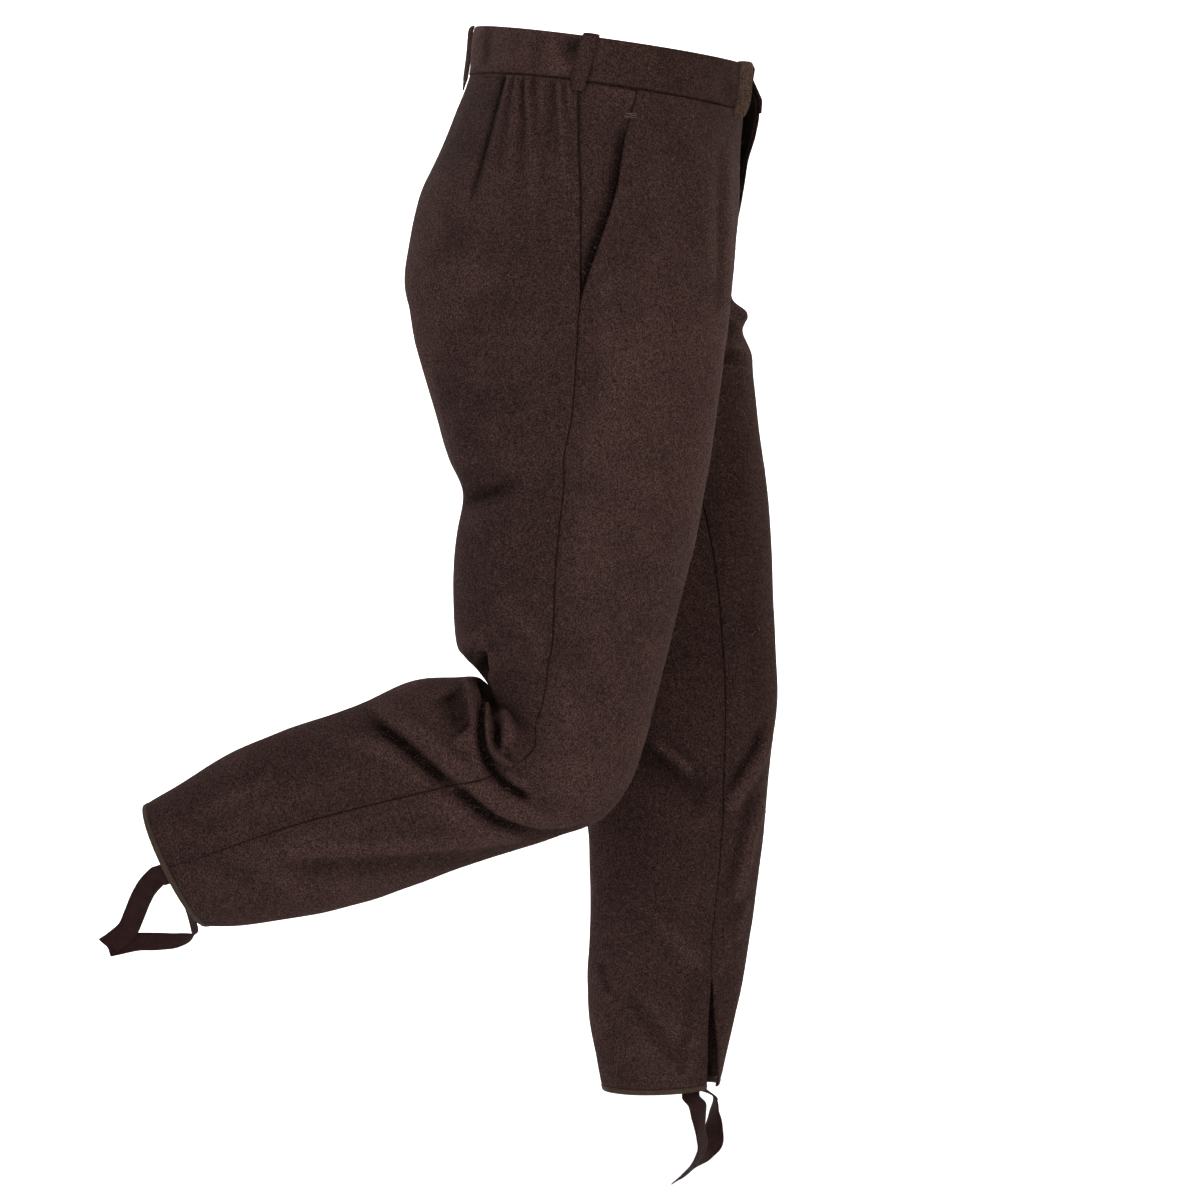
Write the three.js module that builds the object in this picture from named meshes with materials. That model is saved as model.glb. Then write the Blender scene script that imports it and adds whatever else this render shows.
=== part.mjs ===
// Uniform trousers of brown wool, filled out as if walking: the right knee is bent with its lower leg
// behind, and the left leg is nearly straight. Millimetres, +Z up, the front towards -Y and the
// wearer's right towards -X. The origin is the middle of the waist opening.
import * as THREE from "three";

// Cloth and seams
const clothWall = 2;
const seamGap = 0.3;
const underlay = clothWall + 2 * seamGap;

// Waistband
const bandHeight = 49;
const bandWall = 3.2;
const bandProud = 1;
const bandColumns = 34;
const bandRows = 4;

// Panels
const frontColumns = 14;
const backColumns = 15;
const gatherShare = 0.72;
const evenFrom = 1.6;
const gatherEndSection = 3;
const facingColumns = 6;
const facingRows = 9;
const bindingColumns = 30;

// Gathers beside each side seam, under the waistband: uneven in height by a share, in a slow wave
const gather = {
  count: 6, firstY: 33, lastY: 90, clear: 4, ends: 0.08, topZ: -45, length: 75, height: 2.6, fromSeam: 1.1,
  uneven: 0.25, wave: 7.3,
};

// Belt loops: how far each point of the strip is down the band, and how far it stands off
const loopWidth = 15;
const loopThickness = 1.8;
const loopColumns = ["down", "off"];
const loopPath = [
  [1.5, 1.4], [-0.5, 4], [5, 6.2], [20, 6.7], [38, 6.5], [48, 5.2], [55, 3], [60, 1.3],
];

// Fly: how far the left front's edge springs forward at each height
const flareColumns = ["z", "forward"];
const flareRows = [
  [-8, 2], [-15, 6], [-24, 9.5], [-35, 7.5], [-45, 12], [-56, 17], [-75, 17], [-95, 14.5], [-115, 10],
  [-135, 7], [-155, 4], [-175, 1.5], [-195, 0],
];
const flareReach = 46;
const flareAcross = 0.5;
const flareClear = 6;
const flyTop = 0.05;
const flyColumns = 6;
const flyFacing = { rows: 12, width: 40, wall: 1.2, slack: 0.5, endSection: 3.45 };
const flyShield = { rows: 10, under: 16, over: 30, wall: 2, depth: 8.4, sinkShare: 0.42, endSection: 3.4 };

// Fly buttons: a turned profile in shares of the radius and the thickness
const button = {
  radius: 8.5, thickness: 3, across: 17, stand: 0.5, facets: 14, heights: [-42, -92, -136, -178],
};
const buttonColumns = ["radius", "height"];
const buttonProfile = [[0, 0], [0.82, 0], [1, 0.4], [0.92, 1], [0.62, 0.9], [0.5, 0.6], [0, 0.6]];

// Pocket mouth: the front's edge stands off the facing under it
const mouthLift = { z: -190, spread: 75, height: 3.4, reach: 34 };
const facingTuck = 24;
const facingVisible = 18;
const facingSink = 0.8;
const facingEnd = 4.05;

// Hem: binding and the vent at the inseam
const bindingHeight = 6;
const bindingProud = 0.4;
const ventLength = 112;
const ventGap = 22;

// Stirrup straps
const tapeWidth = 21;
const tapeThickness = 1.4;
const tapeBow = 1.8;
const tapeDepths = [0.55, 0.25, 0];
const tapeDrop = 11;

// Angles round the leg of what is sewn on: a belt loop's top and end, a strap's two ends
const loopAngles = { side: [1.69, 1.755], front: [0.3, 0.38], back: [Math.PI, Math.PI] };
const strapAngles = { right: [1.53, -0.85], left: [-0.98, 0.75] };

// A section lies across the leg from a front point to a back point. middle, outer and inner are its
// middle and reaches across, dip lowers its sides, side, mouth and inseam are shares of the way from
// front to back, and centreFront and centreBack are where the rise seams cross it.
const sectionColumns = [
  "frontY", "frontZ", "backY", "backZ", "middle", "outer", "inner", "dip",
  "side", "mouth", "inseam", "centreFront", "centreBack", "steps",
];
const hipSections = [
  [-135, -20.5, 134, 17.5, 0, 150, 150, 14, 0.575, 0.38, 0.5, -135, 134, 4],
  [-134, -69, 140, -31, 2, 158, 156, 10, 0.594, 0.389, 0.5, -134, 140, 3],
  [-130, -112, 165, -99, 14, 158, 150, 5, 0.545, 0.392, 0.5, -130, 164, 2],
  [-128, -168, 190, -161, 34, 149, 126, 2, 0.493, 0.389, 0.5, -127.5, 185, 2],
];
const rightSections = [
  ...hipSections,
  [-122, -238, 202, -238, 58, 130, 100, 0, 0.465, 0.435, 0.5, -112, 180, 2],
  [-118, -272, 197, -272, 74, 115, 94, 0, 0.467, 0.467, 0.5, -86, 148, 1],
  [-115, -296, 193, -296, 84, 107, 90, 0, 0.475, 0.475, 0.5, -42, 108, 1],
  [-112, -316, 188, -316, 90, 102, 90, 0, 0.48, 0.48, 0.5, 38, 38, 2],
  [-104, -379, 169, -379, 96, 96, 91, 0, 0.515, 0.515, 0.38, 0, 0, 1],
  [-97.5, -418, 158, -417, 97, 94, 88, 0, 0.555, 0.555, 0.3, 0, 0, 1],
  [-92, -450, 144, -450, 97, 93, 86, 0, 0.58, 0.58, 0.27, 0, 0, 1],
  [-84, -490, 149.5, -487, 97, 92, 84, 0, 0.57, 0.57, 0.25, 0, 0, 1],
  [-73, -535, 154, -533, 98, 90, 82, 0, 0.555, 0.555, 0.24, 0, 0, 2],
  [-58, -599, 151, -594, 98, 88, 80, 0, 0.543, 0.543, 0.24, 0, 0, 1],
  [-50, -628, 142, -611, 98, 88, 80, 0, 0.572, 0.572, 0.25, 0, 0, 1],
  [-43.6, -655, 131, -622, 98, 88, 80, 0, 0.602, 0.602, 0.25, 0, 0, 1],
  [-34, -693, 119, -636, 99, 88, 79, 0, 0.652, 0.652, 0.26, 0, 0, 2],
  [-19, -735, 109, -649, 99, 87, 78, 0, 0.71, 0.71, 0.27, 0, 0, 2],
  [2, -763.5, 103, -660, 99, 86, 77, 0, 0.69, 0.69, 0.28, 0, 0, 2],
  [24.6, -777, 112.5, -648, 99, 85, 76, 0, 0.59, 0.59, 0.28, 0, 0, 1],
  [49, -785, 127.5, -631, 99, 84, 75, 0, 0.49, 0.49, 0.27, 0, 0, 1],
  [82, -796, 150, -630, 99, 82, 74, 0, 0.44, 0.44, 0.26, 0, 0, 2],
  [140, -815, 195, -634, 100, 79, 72, 0, 0.44, 0.44, 0.25, 0, 0, 2],
  [204.6, -838, 253, -660, 100, 75, 69, 0, 0.49, 0.49, 0.25, 0, 0, 2],
  [272.7, -858.5, 315, -681, 100, 71, 65, 0, 0.51, 0.51, 0.24, 0, 0, 2],
  [326, -868, 366, -702, 100, 67, 61, 0, 0.5, 0.5, 0.2, 0, 0, 1],
  [362, -872, 410, -728, 100, 62, 57, 2, 0.5, 0.5, 0.13, 0, 0, 1],
  [390, -872.5, 450, -752, 100, 57, 53, 4, 0.52, 0.52, 0.075, 0, 0, 0],
];
const leftSections = [
  ...hipSections,
  [-122, -238, 202, -238, 58, 130, 100, 0, 0.465, 0.435, 0.5, -112, 180, 2],
  [-131, -272, 197, -272, 74, 115, 94, 0, 0.467, 0.467, 0.5, -86, 148, 2],
  [-140, -296, 193, -296, 84, 107, 90, 0, 0.475, 0.475, 0.5, -42, 108, 2],
  [-146, -316, 188, -316, 90, 102, 90, 0, 0.48, 0.48, 0.5, 38, 38, 2],
  [-153, -379, 166, -379, 95, 96, 90, 0, 0.5, 0.5, 0.34, 0, 0, 2],
  [-161, -440, 138, -440, 95, 93, 86, 0, 0.5, 0.5, 0.25, 0, 0, 2],
  [-166, -500, 112, -500, 95, 89, 82, 0, 0.5, 0.5, 0.23, 0, 0, 2],
  [-168, -560, 90, -560, 95, 86, 79, 0, 0.5, 0.5, 0.224, 0, 0, 2],
  [-170.5, -620, 70, -620, 95, 83, 76, 0, 0.5, 0.5, 0.23, 0, 0, 1],
  [-171, -660, 56, -660, 95, 81, 74, 0, 0.5, 0.5, 0.24, 0, 0, 1],
  [-166, -700, 42, -700, 95, 79, 72, 0, 0.5, 0.5, 0.24, 0, 0, 1],
  [-162, -740, 31, -740, 95, 77, 70, 0, 0.5, 0.5, 0.245, 0, 0, 1],
  [-158, -790, 23, -790, 95, 75, 68, 0, 0.5, 0.5, 0.248, 0, 0, 2],
  [-151, -850, 21, -850, 95, 71, 64, 0, 0.5, 0.5, 0.248, 0, 0, 1],
  [-144, -903, 21.5, -903, 95, 67, 61, 0, 0.5, 0.5, 0.245, 0, 0, 1],
  [-137.5, -944, 22.5, -944, 95, 64, 58, 0, 0.5, 0.5, 0.215, 0, 0, 1],
  [-127.5, -985, 21, -985, 95, 61, 56, 0, 0.5, 0.5, 0.16, 0, 0, 1],
  [-118.5, -1022, 13.5, -1024, 95, 58, 54, 1, 0.5, 0.5, 0.1, 0, 0, 1],
  [-113, -1045, 8.5, -1050, 95, 56, 52, 2.5, 0.5, 0.5, 0.06, 0, 0, 0],
];

// Creases and soft ridges: a line on the outer (1) or inner (-1) side of a leg, seen from the side
const creaseFacing = [0.05, 0.45];
const creaseColumns = ["side", "y0", "z0", "y1", "z1", "width", "height"];
const rightCreases = [
  [1, 118, -612, 105, -665, 7, -8], [1, 105, -665, 99, -702, 7, -9],
  [1, 115, -652, 113, -700, 6, 4],
  [1, 122, -645, 120, -690, 6, -6], [1, 120, -690, 84, -744, 7, -7],
  [1, 141, -732, 91, -758, 8, -4], [1, 91, -758, 44, -771, 8, -4],
  [1, 87, -788, 175, -795, 10, -3], [1, 175, -795, 293, -796, 12, -4],
  [1, 165, -655, 285, -722, 12, 3], [1, 250, -745, 330, -775, 14, -3],
  [-1, 118, -620, 99, -700, 8, -9], [-1, 120, -690, 80, -748, 9, -6],
  [-1, 100, -786, 260, -790, 12, -4],
  [1, 150, -462, 95, -446, 9, -3.5], [-1, 150, -462, 90, -440, 10, -4],
];
const leftCreases = [
  [-1, -38, -700, -92, -758, 16, -5], [-1, -10, -640, -70, -690, 16, 3],
  [-1, -150, -720, -131, -862, 9, 3], [-1, -128, -740, -112, -860, 9, -2.5],
  [-1, 10, -922, 2, -955, 5, -3],
  [1, -30, -690, -110, -745, 15, -5], [1, -60, -720, -140, -790, 14, 3],
  [1, 20, -850, -30, -880, 12, -3],
];

// The pointed fold of the left front beside the fly's lower end
const foldColumns = ["angle", "z", "turn", "rise", "height"];
const leftFolds = [[-0.3, -268, 0.2, 12, 15], [-0.12, -300, 0.3, 16, 3]];

// Stirrup straps outside the hem: the middle of the tape and the direction of its width
const tapeColumns = ["x", "y", "z", "wx", "wy", "wz"];
const rightTape = [
  [-143, 436, -821, 0, -0.7, -0.72], [-134, 447, -832, 0, -0.75, -0.66],
  [-124, 455, -845, 0, -0.86, -0.5], [-114, 462, -860, 0, -0.9, -0.42],
  [-107, 470, -876, 0, -0.84, -0.54], [-103, 483, -889, 0.1, -0.72, -0.7],
  [-98, 488, -893, 0.1, -0.7, -0.72], [-93, 479, -891, 0.2, -0.5, -0.84],
  [-88, 461, -889, 0.5, -0.1, -0.86], [-80, 442, -889.5, 0.55, 0, -0.83],
  [-72, 423, -889, 0.65, 0.15, -0.74], [-66, 409, -884, 0.8, 0.4, -0.45],
];
const leftTape = [
  [46, -91, -1066, -0.2, 0.97, -0.1], [51, -95, -1079, -0.25, 0.96, -0.05],
  [60, -97.5, -1097, -0.3, 0.95, 0], [72, -98, -1112, -0.2, 0.95, -0.25],
  [82, -91, -1127, -0.1, 0.86, -0.5], [90, -80, -1139, -0.1, 0.8, -0.6],
  [95, -71, -1147, -0.1, 0.76, -0.64], [100, -75, -1145, -0.1, 0.78, -0.62],
  [110, -88, -1138, 0.1, 0.8, -0.6], [118, -101, -1128, 0.25, 0.84, -0.45],
  [126, -109, -1117, 0.45, 0.84, -0.25], [134, -112, -1102, 0.65, 0.74, -0.1],
  [142, -109, -1083, 0.85, 0.5, 0],
];

const colours = {
  wool: 0x37282a, waistband: 0x322322, facing: 0x0b0a0a,
  binding: 0x3f3530, tape: 0x2a1c1a, horn: 0x1b1412,
};

function named(columns, rows) {
  return rows.map((row) => Object.fromEntries(columns.map((column, i) => [column, row[i]])));
}

const sections = {
  right: named(sectionColumns, rightSections),
  left: named(sectionColumns, leftSections),
};
const creases = {
  right: named(creaseColumns, rightCreases),
  left: named(creaseColumns, leftCreases),
};
const folds = { right: [], left: named(foldColumns, leftFolds) };
const flare = named(flareColumns, flareRows);
const crotchSection = 7;
const legsApart = 0.6;
const hemStep = 0.25;
const sideSign = { right: -1, left: 1 };

function clamp01(value) {
  return Math.min(1, Math.max(0, value));
}

function smooth(from, to, value) {
  const t = clamp01((value - from) / (to - from));
  return t * t * (3 - 2 * t);
}

function mix(a, b, t) {
  return a + (b - a) * t;
}

// A Catmull-Rom value between four neighbours
function curveThrough(p0, p1, p2, p3, t) {
  const a = 2 * p1;
  const b = (p2 - p0) * t;
  const c = (2 * p0 - 5 * p1 + 4 * p2 - p3) * t * t;
  const d = (3 * p1 - p0 - 3 * p2 + p3) * t * t * t;
  return (a + b + c + d) / 2;
}

// The section at any place down the leg, between the rows of its table
function sectionAt(leg, place) {
  const rows = sections[leg];
  const last = rows.length - 1;
  const i = Math.min(Math.max(Math.floor(place), 0), last - 1);
  const t = place - i;
  const rise = i < crotchSection;
  const near = (k) => rows[Math.min(Math.max(k, 0), last)];
  const section = {};
  for (const column of sectionColumns) {
    const centre = column === "centreFront" || column === "centreBack";
    const after = centre && i + 2 > crotchSection ? near(i + 1) : near(i + 2);
    const four = [near(i - 1), near(i), near(i + 1), after].map((row) => row[column]);
    section[column] = curveThrough(...four, t);
  }
  section.rise = rise;
  if (!rise) section.inner = Math.min(section.inner, section.middle - legsApart);
  return section;
}

// Angles run round the leg: 0 at the front, positive over the outer side, negative over the inner
function angleOfShare(share) {
  return Math.acos(1 - 2 * clamp01(share));
}

function centreAngle(section) {
  const half = seamGap / 2;
  return Math.asin(clamp01((section.middle - half) / section.inner));
}

function flareAt(z) {
  if (z >= flare[0].z) return flare[0].forward;
  for (let i = 1; i < flare.length; i += 1) {
    if (z >= flare[i].z) {
      const share = (flare[i - 1].z - z) / (flare[i - 1].z - flare[i].z);
      return mix(flare[i - 1].forward, flare[i].forward, share);
    }
  }
  return 0;
}

// The smooth form of a leg, before its creases
function legForm(leg, place, angle) {
  const section = sectionAt(leg, place);
  const sine = Math.sin(angle);
  const reach = sine >= 0 ? section.outer * sine : section.inner * sine;
  let along = (1 - Math.cos(angle)) / 2;
  if (section.rise && sine < 0) {
    const limit = Math.max(centreAngle(section), 0.02);
    const front = Math.cos(angle) > 0;
    const turn = front ? Math.abs(angle) : Math.abs(Math.PI - Math.abs(angle));
    const depth = section.backY - section.frontY;
    const target = ((front ? section.centreFront : section.centreBack) - section.frontY) / depth;
    const own = (1 - Math.cos(front ? limit : Math.PI - limit)) / 2;
    along += (target - own) * clamp01(turn / limit) ** 2;
  }
  const dip = section.dip * Math.abs(sine);
  const fall = Math.atan2(section.backZ - section.frontZ, section.backY - section.frontY);
  let x = section.middle + reach;
  let y = mix(section.frontY, section.backY, along) + dip * Math.sin(fall);
  const z = mix(section.frontZ, section.backZ, along) - dip * Math.cos(fall);
  if (leg === "left" && Math.cos(angle) > 0) {
    const forward = flareAt(z) * clamp01(1 - Math.abs(x) / flareReach) ** 2;
    y -= forward;
    x -= Math.max(0, forward - flareClear) * flareAcross;
  }
  return new THREE.Vector3(sideSign[leg] * x, y, z);
}

function distanceToLine(y, z, crease) {
  const dy = crease.y1 - crease.y0;
  const dz = crease.z1 - crease.z0;
  const t = clamp01(((y - crease.y0) * dy + (z - crease.z0) * dz) / (dy * dy + dz * dz));
  return Math.hypot(y - crease.y0 - t * dy, z - crease.z0 - t * dz);
}

// How far creases, gathers and the pocket's edge move the cloth outwards
function reliefAt(leg, point, angle, place) {
  const sine = Math.sin(angle);
  let relief = 0;
  for (const crease of creases[leg]) {
    const facing = smooth(...creaseFacing, sine * crease.side);
    const distance = distanceToLine(point.y, point.z, crease);
    relief += facing * crease.height * Math.exp(-((distance / crease.width) ** 2));
  }
  for (const fold of folds[leg]) {
    const away = ((angle - fold.angle) / fold.turn) ** 2 + ((point.z - fold.z) / fold.rise) ** 2;
    relief += fold.height * Math.exp(-away);
  }
  if (sine > 0 && place >= 1) {
    const across = (point.y - gather.firstY) / (gather.lastY - gather.firstY);
    if (across > 0 && across < 1) {
      const window = smooth(0, gather.ends, across) * smooth(0, gather.ends, 1 - across);
      const uneven = 1 - gather.uneven + gather.uneven * Math.cos(gather.wave * across);
      const fade = clamp01(1 + (point.z - gather.topZ) / (gather.length * uneven)) ** 1.5;
      const fromSeam = smooth(1, gather.fromSeam, place);
      const ripple = Math.cos(2 * Math.PI * gather.count * across);
      relief += gather.height * fromSeam * window * fade * uneven * ripple;
    }
  }
  return relief;
}

// The cloth's outer face
function clothPoint(leg, place, angle) {
  const step = 0.01;
  const point = legForm(leg, place, angle);
  const relief = reliefAt(leg, point, angle, place);
  if (Math.abs(relief) < 1e-4) return point;
  const round = legForm(leg, place, angle + step).sub(legForm(leg, place, angle - step));
  const down = legForm(leg, place + step, angle).sub(legForm(leg, place - step, angle));
  const normal = round.cross(down).normalize().multiplyScalar(-sideSign[leg]);
  return point.addScaledVector(normal, relief);
}

function clothNormal(leg, place, angle) {
  const step = 0.012;
  const round = clothPoint(leg, place, angle + step).sub(clothPoint(leg, place, angle - step));
  const down = clothPoint(leg, place + step, angle).sub(clothPoint(leg, place - step, angle));
  return round.cross(down).normalize().multiplyScalar(-sideSign[leg]);
}

// A point that stands off the cloth's outer face, outwards where off is positive
function offCloth(leg, place, angle, off) {
  return clothPoint(leg, place, angle).addScaledVector(clothNormal(leg, place, angle), off);
}

// Millimetres round the leg for one radian
function roundSpeed(leg, place, angle) {
  const step = 0.02;
  return clothPoint(leg, place, angle + step).distanceTo(clothPoint(leg, place, angle - step)) / (2 * step);
}

// The places down a leg at which its mesh has a row, from one section to another
function placesDown(leg, from, to) {
  const places = [];
  for (let i = from; i < to; i += 1) {
    const steps = sections[leg][i].steps;
    for (let k = 0; k < steps; k += 1) places.push(i + k / steps);
  }
  places.push(to);
  return places;
}

function meshFrom(name, material, positions, indices) {
  const geometry = new THREE.BufferGeometry();
  const numbers = positions.flatMap((point) => [point.x, point.y, point.z]);
  geometry.setAttribute("position", new THREE.Float32BufferAttribute(numbers, 3));
  geometry.setIndex(indices);
  if (signedVolume(positions, indices) < 0) {
    const turned = [];
    for (let i = 0; i < indices.length; i += 3) turned.push(indices[i], indices[i + 2], indices[i + 1]);
    geometry.setIndex(turned);
  }
  geometry.computeVertexNormals();
  const mesh = new THREE.Mesh(geometry, material);
  mesh.name = name;
  return mesh;
}

function signedVolume(positions, indices) {
  let volume = 0;
  const cross = new THREE.Vector3();
  for (let i = 0; i < indices.length; i += 3) {
    cross.crossVectors(positions[indices[i + 1]], positions[indices[i + 2]]);
    volume += positions[indices[i]].dot(cross) / 6;
  }
  return volume;
}

// A closed wall between two faces of rows. A row may have half the columns of the row above it.
function wall(name, material, outerRows, innerRows) {
  const positions = [];
  const indices = [];
  const number = (rows) => rows.map((row) => row.map((point) => positions.push(point) - 1));
  const outer = number(outerRows);
  const inner = number(innerRows);
  const quad = (a, b, c, d) => indices.push(a, b, c, a, c, d);
  const face = (rows, flip) => {
    for (let i = 0; i + 1 < rows.length; i += 1) {
      const above = rows[i];
      const below = rows[i + 1];
      const ratio = (above.length - 1) / (below.length - 1);
      for (let j = 0; j + 1 < below.length; j += 1) {
        const fans = ratio === 2
          ? [[above[2 * j], below[j], above[2 * j + 1]], [above[2 * j + 1], below[j], below[j + 1]],
            [above[2 * j + 1], below[j + 1], above[2 * j + 2]]]
          : [[above[j], below[j], below[j + 1]], [above[j], below[j + 1], above[j + 1]]];
        for (const [a, b, c] of fans) indices.push(...(flip ? [a, c, b] : [a, b, c]));
      }
    }
  };
  face(outer, false);
  face(inner, true);
  for (let i = 0; i + 1 < outer.length; i += 1) {
    quad(outer[i][0], inner[i][0], inner[i + 1][0], outer[i + 1][0]);
    const end = outer[i].length - 1;
    const next = outer[i + 1].length - 1;
    quad(outer[i + 1][next], inner[i + 1][next], inner[i][end], outer[i][end]);
  }
  const top = outer[0];
  const bottom = outer.length - 1;
  for (let j = 0; j + 1 < top.length; j += 1) {
    quad(top[j + 1], inner[0][j + 1], inner[0][j], top[j]);
  }
  for (let j = 0; j + 1 < outer[bottom].length; j += 1) {
    quad(outer[bottom][j], inner[bottom][j], inner[bottom][j + 1], outer[bottom][j + 1]);
  }
  return meshFrom(name, material, positions, indices);
}

// Half the gap at the inseam, which widens down the vent
function inseamHalfGap(leg, place) {
  const last = sections[leg].length - 1;
  const hem = legForm(leg, last, 0);
  const fromHem = legForm(leg, place, 0).distanceTo(hem);
  return mix(ventGap / 2, seamGap / 2, clamp01(fromHem / ventLength));
}

// Where a panel ends at the centre or the inseam, as a turn from the front (or from the back)
function innerEdge(leg, place, panel) {
  const section = sectionAt(leg, place);
  const inseam = angleOfShare(section.inseam);
  const trim = inseamHalfGap(leg, place) / roundSpeed(leg, place, -inseam);
  const atInseam = panel === "front" ? -(inseam - trim) : 2 * Math.PI - (inseam + trim);
  if (!section.rise) return atInseam;
  const centre = centreAngle(section);
  return panel === "front" ? Math.max(-centre, atInseam) : Math.min(Math.PI + centre, atInseam);
}

function sideAngle(leg, place) {
  return angleOfShare(sectionAt(leg, place).side);
}

// How far the pocket's edge stands off, near the mouth
function liftAt(leg, place, angle, edge) {
  const point = legForm(leg, place, edge);
  const along = Math.max(0, 1 - Math.abs(point.z - mouthLift.z) / mouthLift.spread);
  const away = legForm(leg, place, angle).distanceTo(point) / mouthLift.reach;
  return mouthLift.height * along * along * (3 - 2 * along) * clamp01(1 - away) ** 2;
}

function frontPanel(leg, material) {
  const last = sections[leg].length - 1;
  const outer = [];
  const inner = [];
  for (const place of placesDown(leg, 1, last)) {
    const top = place === 1 ? place + seamGap / bandHeight : place;
    const section = sectionAt(leg, top);
    const mouth = Math.min(angleOfShare(section.mouth), sideAngle(leg, top));
    const start = mouth - seamGap / 2 / roundSpeed(leg, top, mouth);
    const end = innerEdge(leg, top, "front");
    const rowOuter = [];
    const rowInner = [];
    for (let j = 0; j <= frontColumns; j += 1) {
      const angle = mix(start, end, j / frontColumns);
      const lift = liftAt(leg, top, angle, start);
      rowOuter.push(offCloth(leg, top, angle, lift));
      rowInner.push(offCloth(leg, top, angle, lift - clothWall));
    }
    outer.push(rowOuter);
    inner.push(rowInner);
  }
  return wall(`front_${leg}`, material, outer, inner);
}

// The back has twice the columns at its top, most of them over the gathers
function backPanel(leg, material) {
  const last = sections[leg].length - 1;
  const outer = [];
  const inner = [];
  for (const place of placesDown(leg, 1, last)) {
    const top = place === 1 ? place + seamGap / bandHeight : place;
    const side = sideAngle(leg, top);
    const start = side + seamGap / 2 / roundSpeed(leg, top, side);
    const end = innerEdge(leg, top, "back");
    const columns = place < gatherEndSection ? 2 * backColumns : backColumns;
    const even = smooth(evenFrom, gatherEndSection, place);
    const form = sectionAt(leg, top);
    const gatherReach = gather.lastY + gather.clear - form.frontY;
    const gatherEnd = angleOfShare(gatherReach / (form.backY - form.frontY));
    const rowOuter = [];
    const rowInner = [];
    for (let j = 0; j <= columns; j += 1) {
      const t = j / columns;
      const bunched = t < gatherShare
        ? mix(start, gatherEnd, t / gatherShare)
        : mix(gatherEnd, end, (t - gatherShare) / (1 - gatherShare));
      const angle = mix(bunched, mix(start, end, t), even);
      rowOuter.push(offCloth(leg, top, angle, 0));
      rowInner.push(offCloth(leg, top, angle, -clothWall));
    }
    outer.push(rowOuter);
    inner.push(rowInner);
  }
  return wall(`back_${leg}`, material, outer, inner);
}

function waistband(leg, material) {
  const outer = [];
  const inner = [];
  for (let i = 0; i <= bandRows; i += 1) {
    const place = i / bandRows;
    const section = sectionAt(leg, place);
    const start = -centreAngle(section) + seamGap / 2 / section.outer;
    const end = Math.PI - start;
    const rowOuter = [];
    const rowInner = [];
    for (let j = 0; j <= bandColumns; j += 1) {
      const angle = mix(start, end, j / bandColumns);
      rowOuter.push(offCloth(leg, place, angle, bandProud));
      rowInner.push(offCloth(leg, place, angle, bandProud - bandWall));
    }
    outer.push(rowOuter);
    inner.push(rowInner);
  }
  return wall(`waistband_${leg}`, material, outer, inner);
}

// The wool under the pocket mouth, from the side seam to behind the front's edge
function pocketFacing(leg, material) {
  const outer = [];
  const inner = [];
  for (let i = 0; i <= facingRows; i += 1) {
    const place = mix(1 + seamGap / bandHeight, facingEnd, i / facingRows);
    const side = sideAngle(leg, place);
    const mouth = Math.min(angleOfShare(sectionAt(leg, place).mouth), side);
    const speed = roundSpeed(leg, place, side);
    const visible = (side - mouth) * speed;
    const seamDepth = underlay * (1 - clamp01(visible / facingVisible));
    const rowOuter = [];
    const rowInner = [];
    for (let j = 0; j <= facingColumns; j += 1) {
      const shown = Math.min(1, (2 * j) / facingColumns);
      const tucked = Math.max(0, (2 * j) / facingColumns - 1);
      const angle = side - (mix(seamGap / 2, visible, shown) + facingTuck * tucked) / speed;
      const depth = mix(seamDepth, underlay, smooth(0, facingSink, shown));
      rowOuter.push(offCloth(leg, place, angle, -depth));
      rowInner.push(offCloth(leg, place, angle, -depth - clothWall));
    }
    outer.push(rowOuter);
    inner.push(rowInner);
  }
  return wall(`pocket_facing_${leg}`, material, outer, inner);
}

// The angle at which the front's centre part is a given distance across from the centre plane
function angleAcross(leg, place, across) {
  const section = sectionAt(leg, place);
  const offset = across - section.middle;
  return Math.asin(Math.max(-1, Math.min(1, offset / (offset > 0 ? section.outer : section.inner))));
}

function flyStrip(name, leg, material, shape) {
  const outer = [];
  const inner = [];
  for (let i = 0; i <= shape.rows; i += 1) {
    const place = mix(flyTop, shape.endSection, i / shape.rows);
    const rowOuter = [];
    const rowInner = [];
    for (let j = 0; j <= flyColumns; j += 1) {
      const t = j / flyColumns;
      const angle = angleAcross(leg, place, mix(shape.from, shape.to, t));
      const depth = shape.depthAt(t);
      rowOuter.push(offCloth(leg, place, angle, -depth));
      rowInner.push(offCloth(leg, place, angle, -depth - shape.wall));
    }
    outer.push(rowOuter);
    inner.push(rowInner);
  }
  return wall(name, material, outer, inner);
}

function flyFacingPiece(material) {
  return flyStrip("fly_facing_left", "left", material, {
    ...flyFacing, from: seamGap, to: flyFacing.width, depthAt: () => underlay + flyFacing.slack,
  });
}

function flyShieldPiece(material) {
  return flyStrip("fly_shield_right", "right", material, {
    ...flyShield, from: flyShield.under, to: -flyShield.over,
    depthAt: (t) => mix(underlay, flyShield.depth, smooth(0, flyShield.sinkShare, t)),
  });
}

// The place down the right front at which the buttons' line is at a given height
function placeAtHeight(z) {
  let low = 0;
  let high = flyShield.endSection;
  while (high - low > 1e-4) {
    const place = (low + high) / 2;
    const above = legForm("right", place, angleAcross("right", place, -button.across)).z > z;
    if (above) low = place;
    else high = place;
  }
  return low;
}

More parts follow.
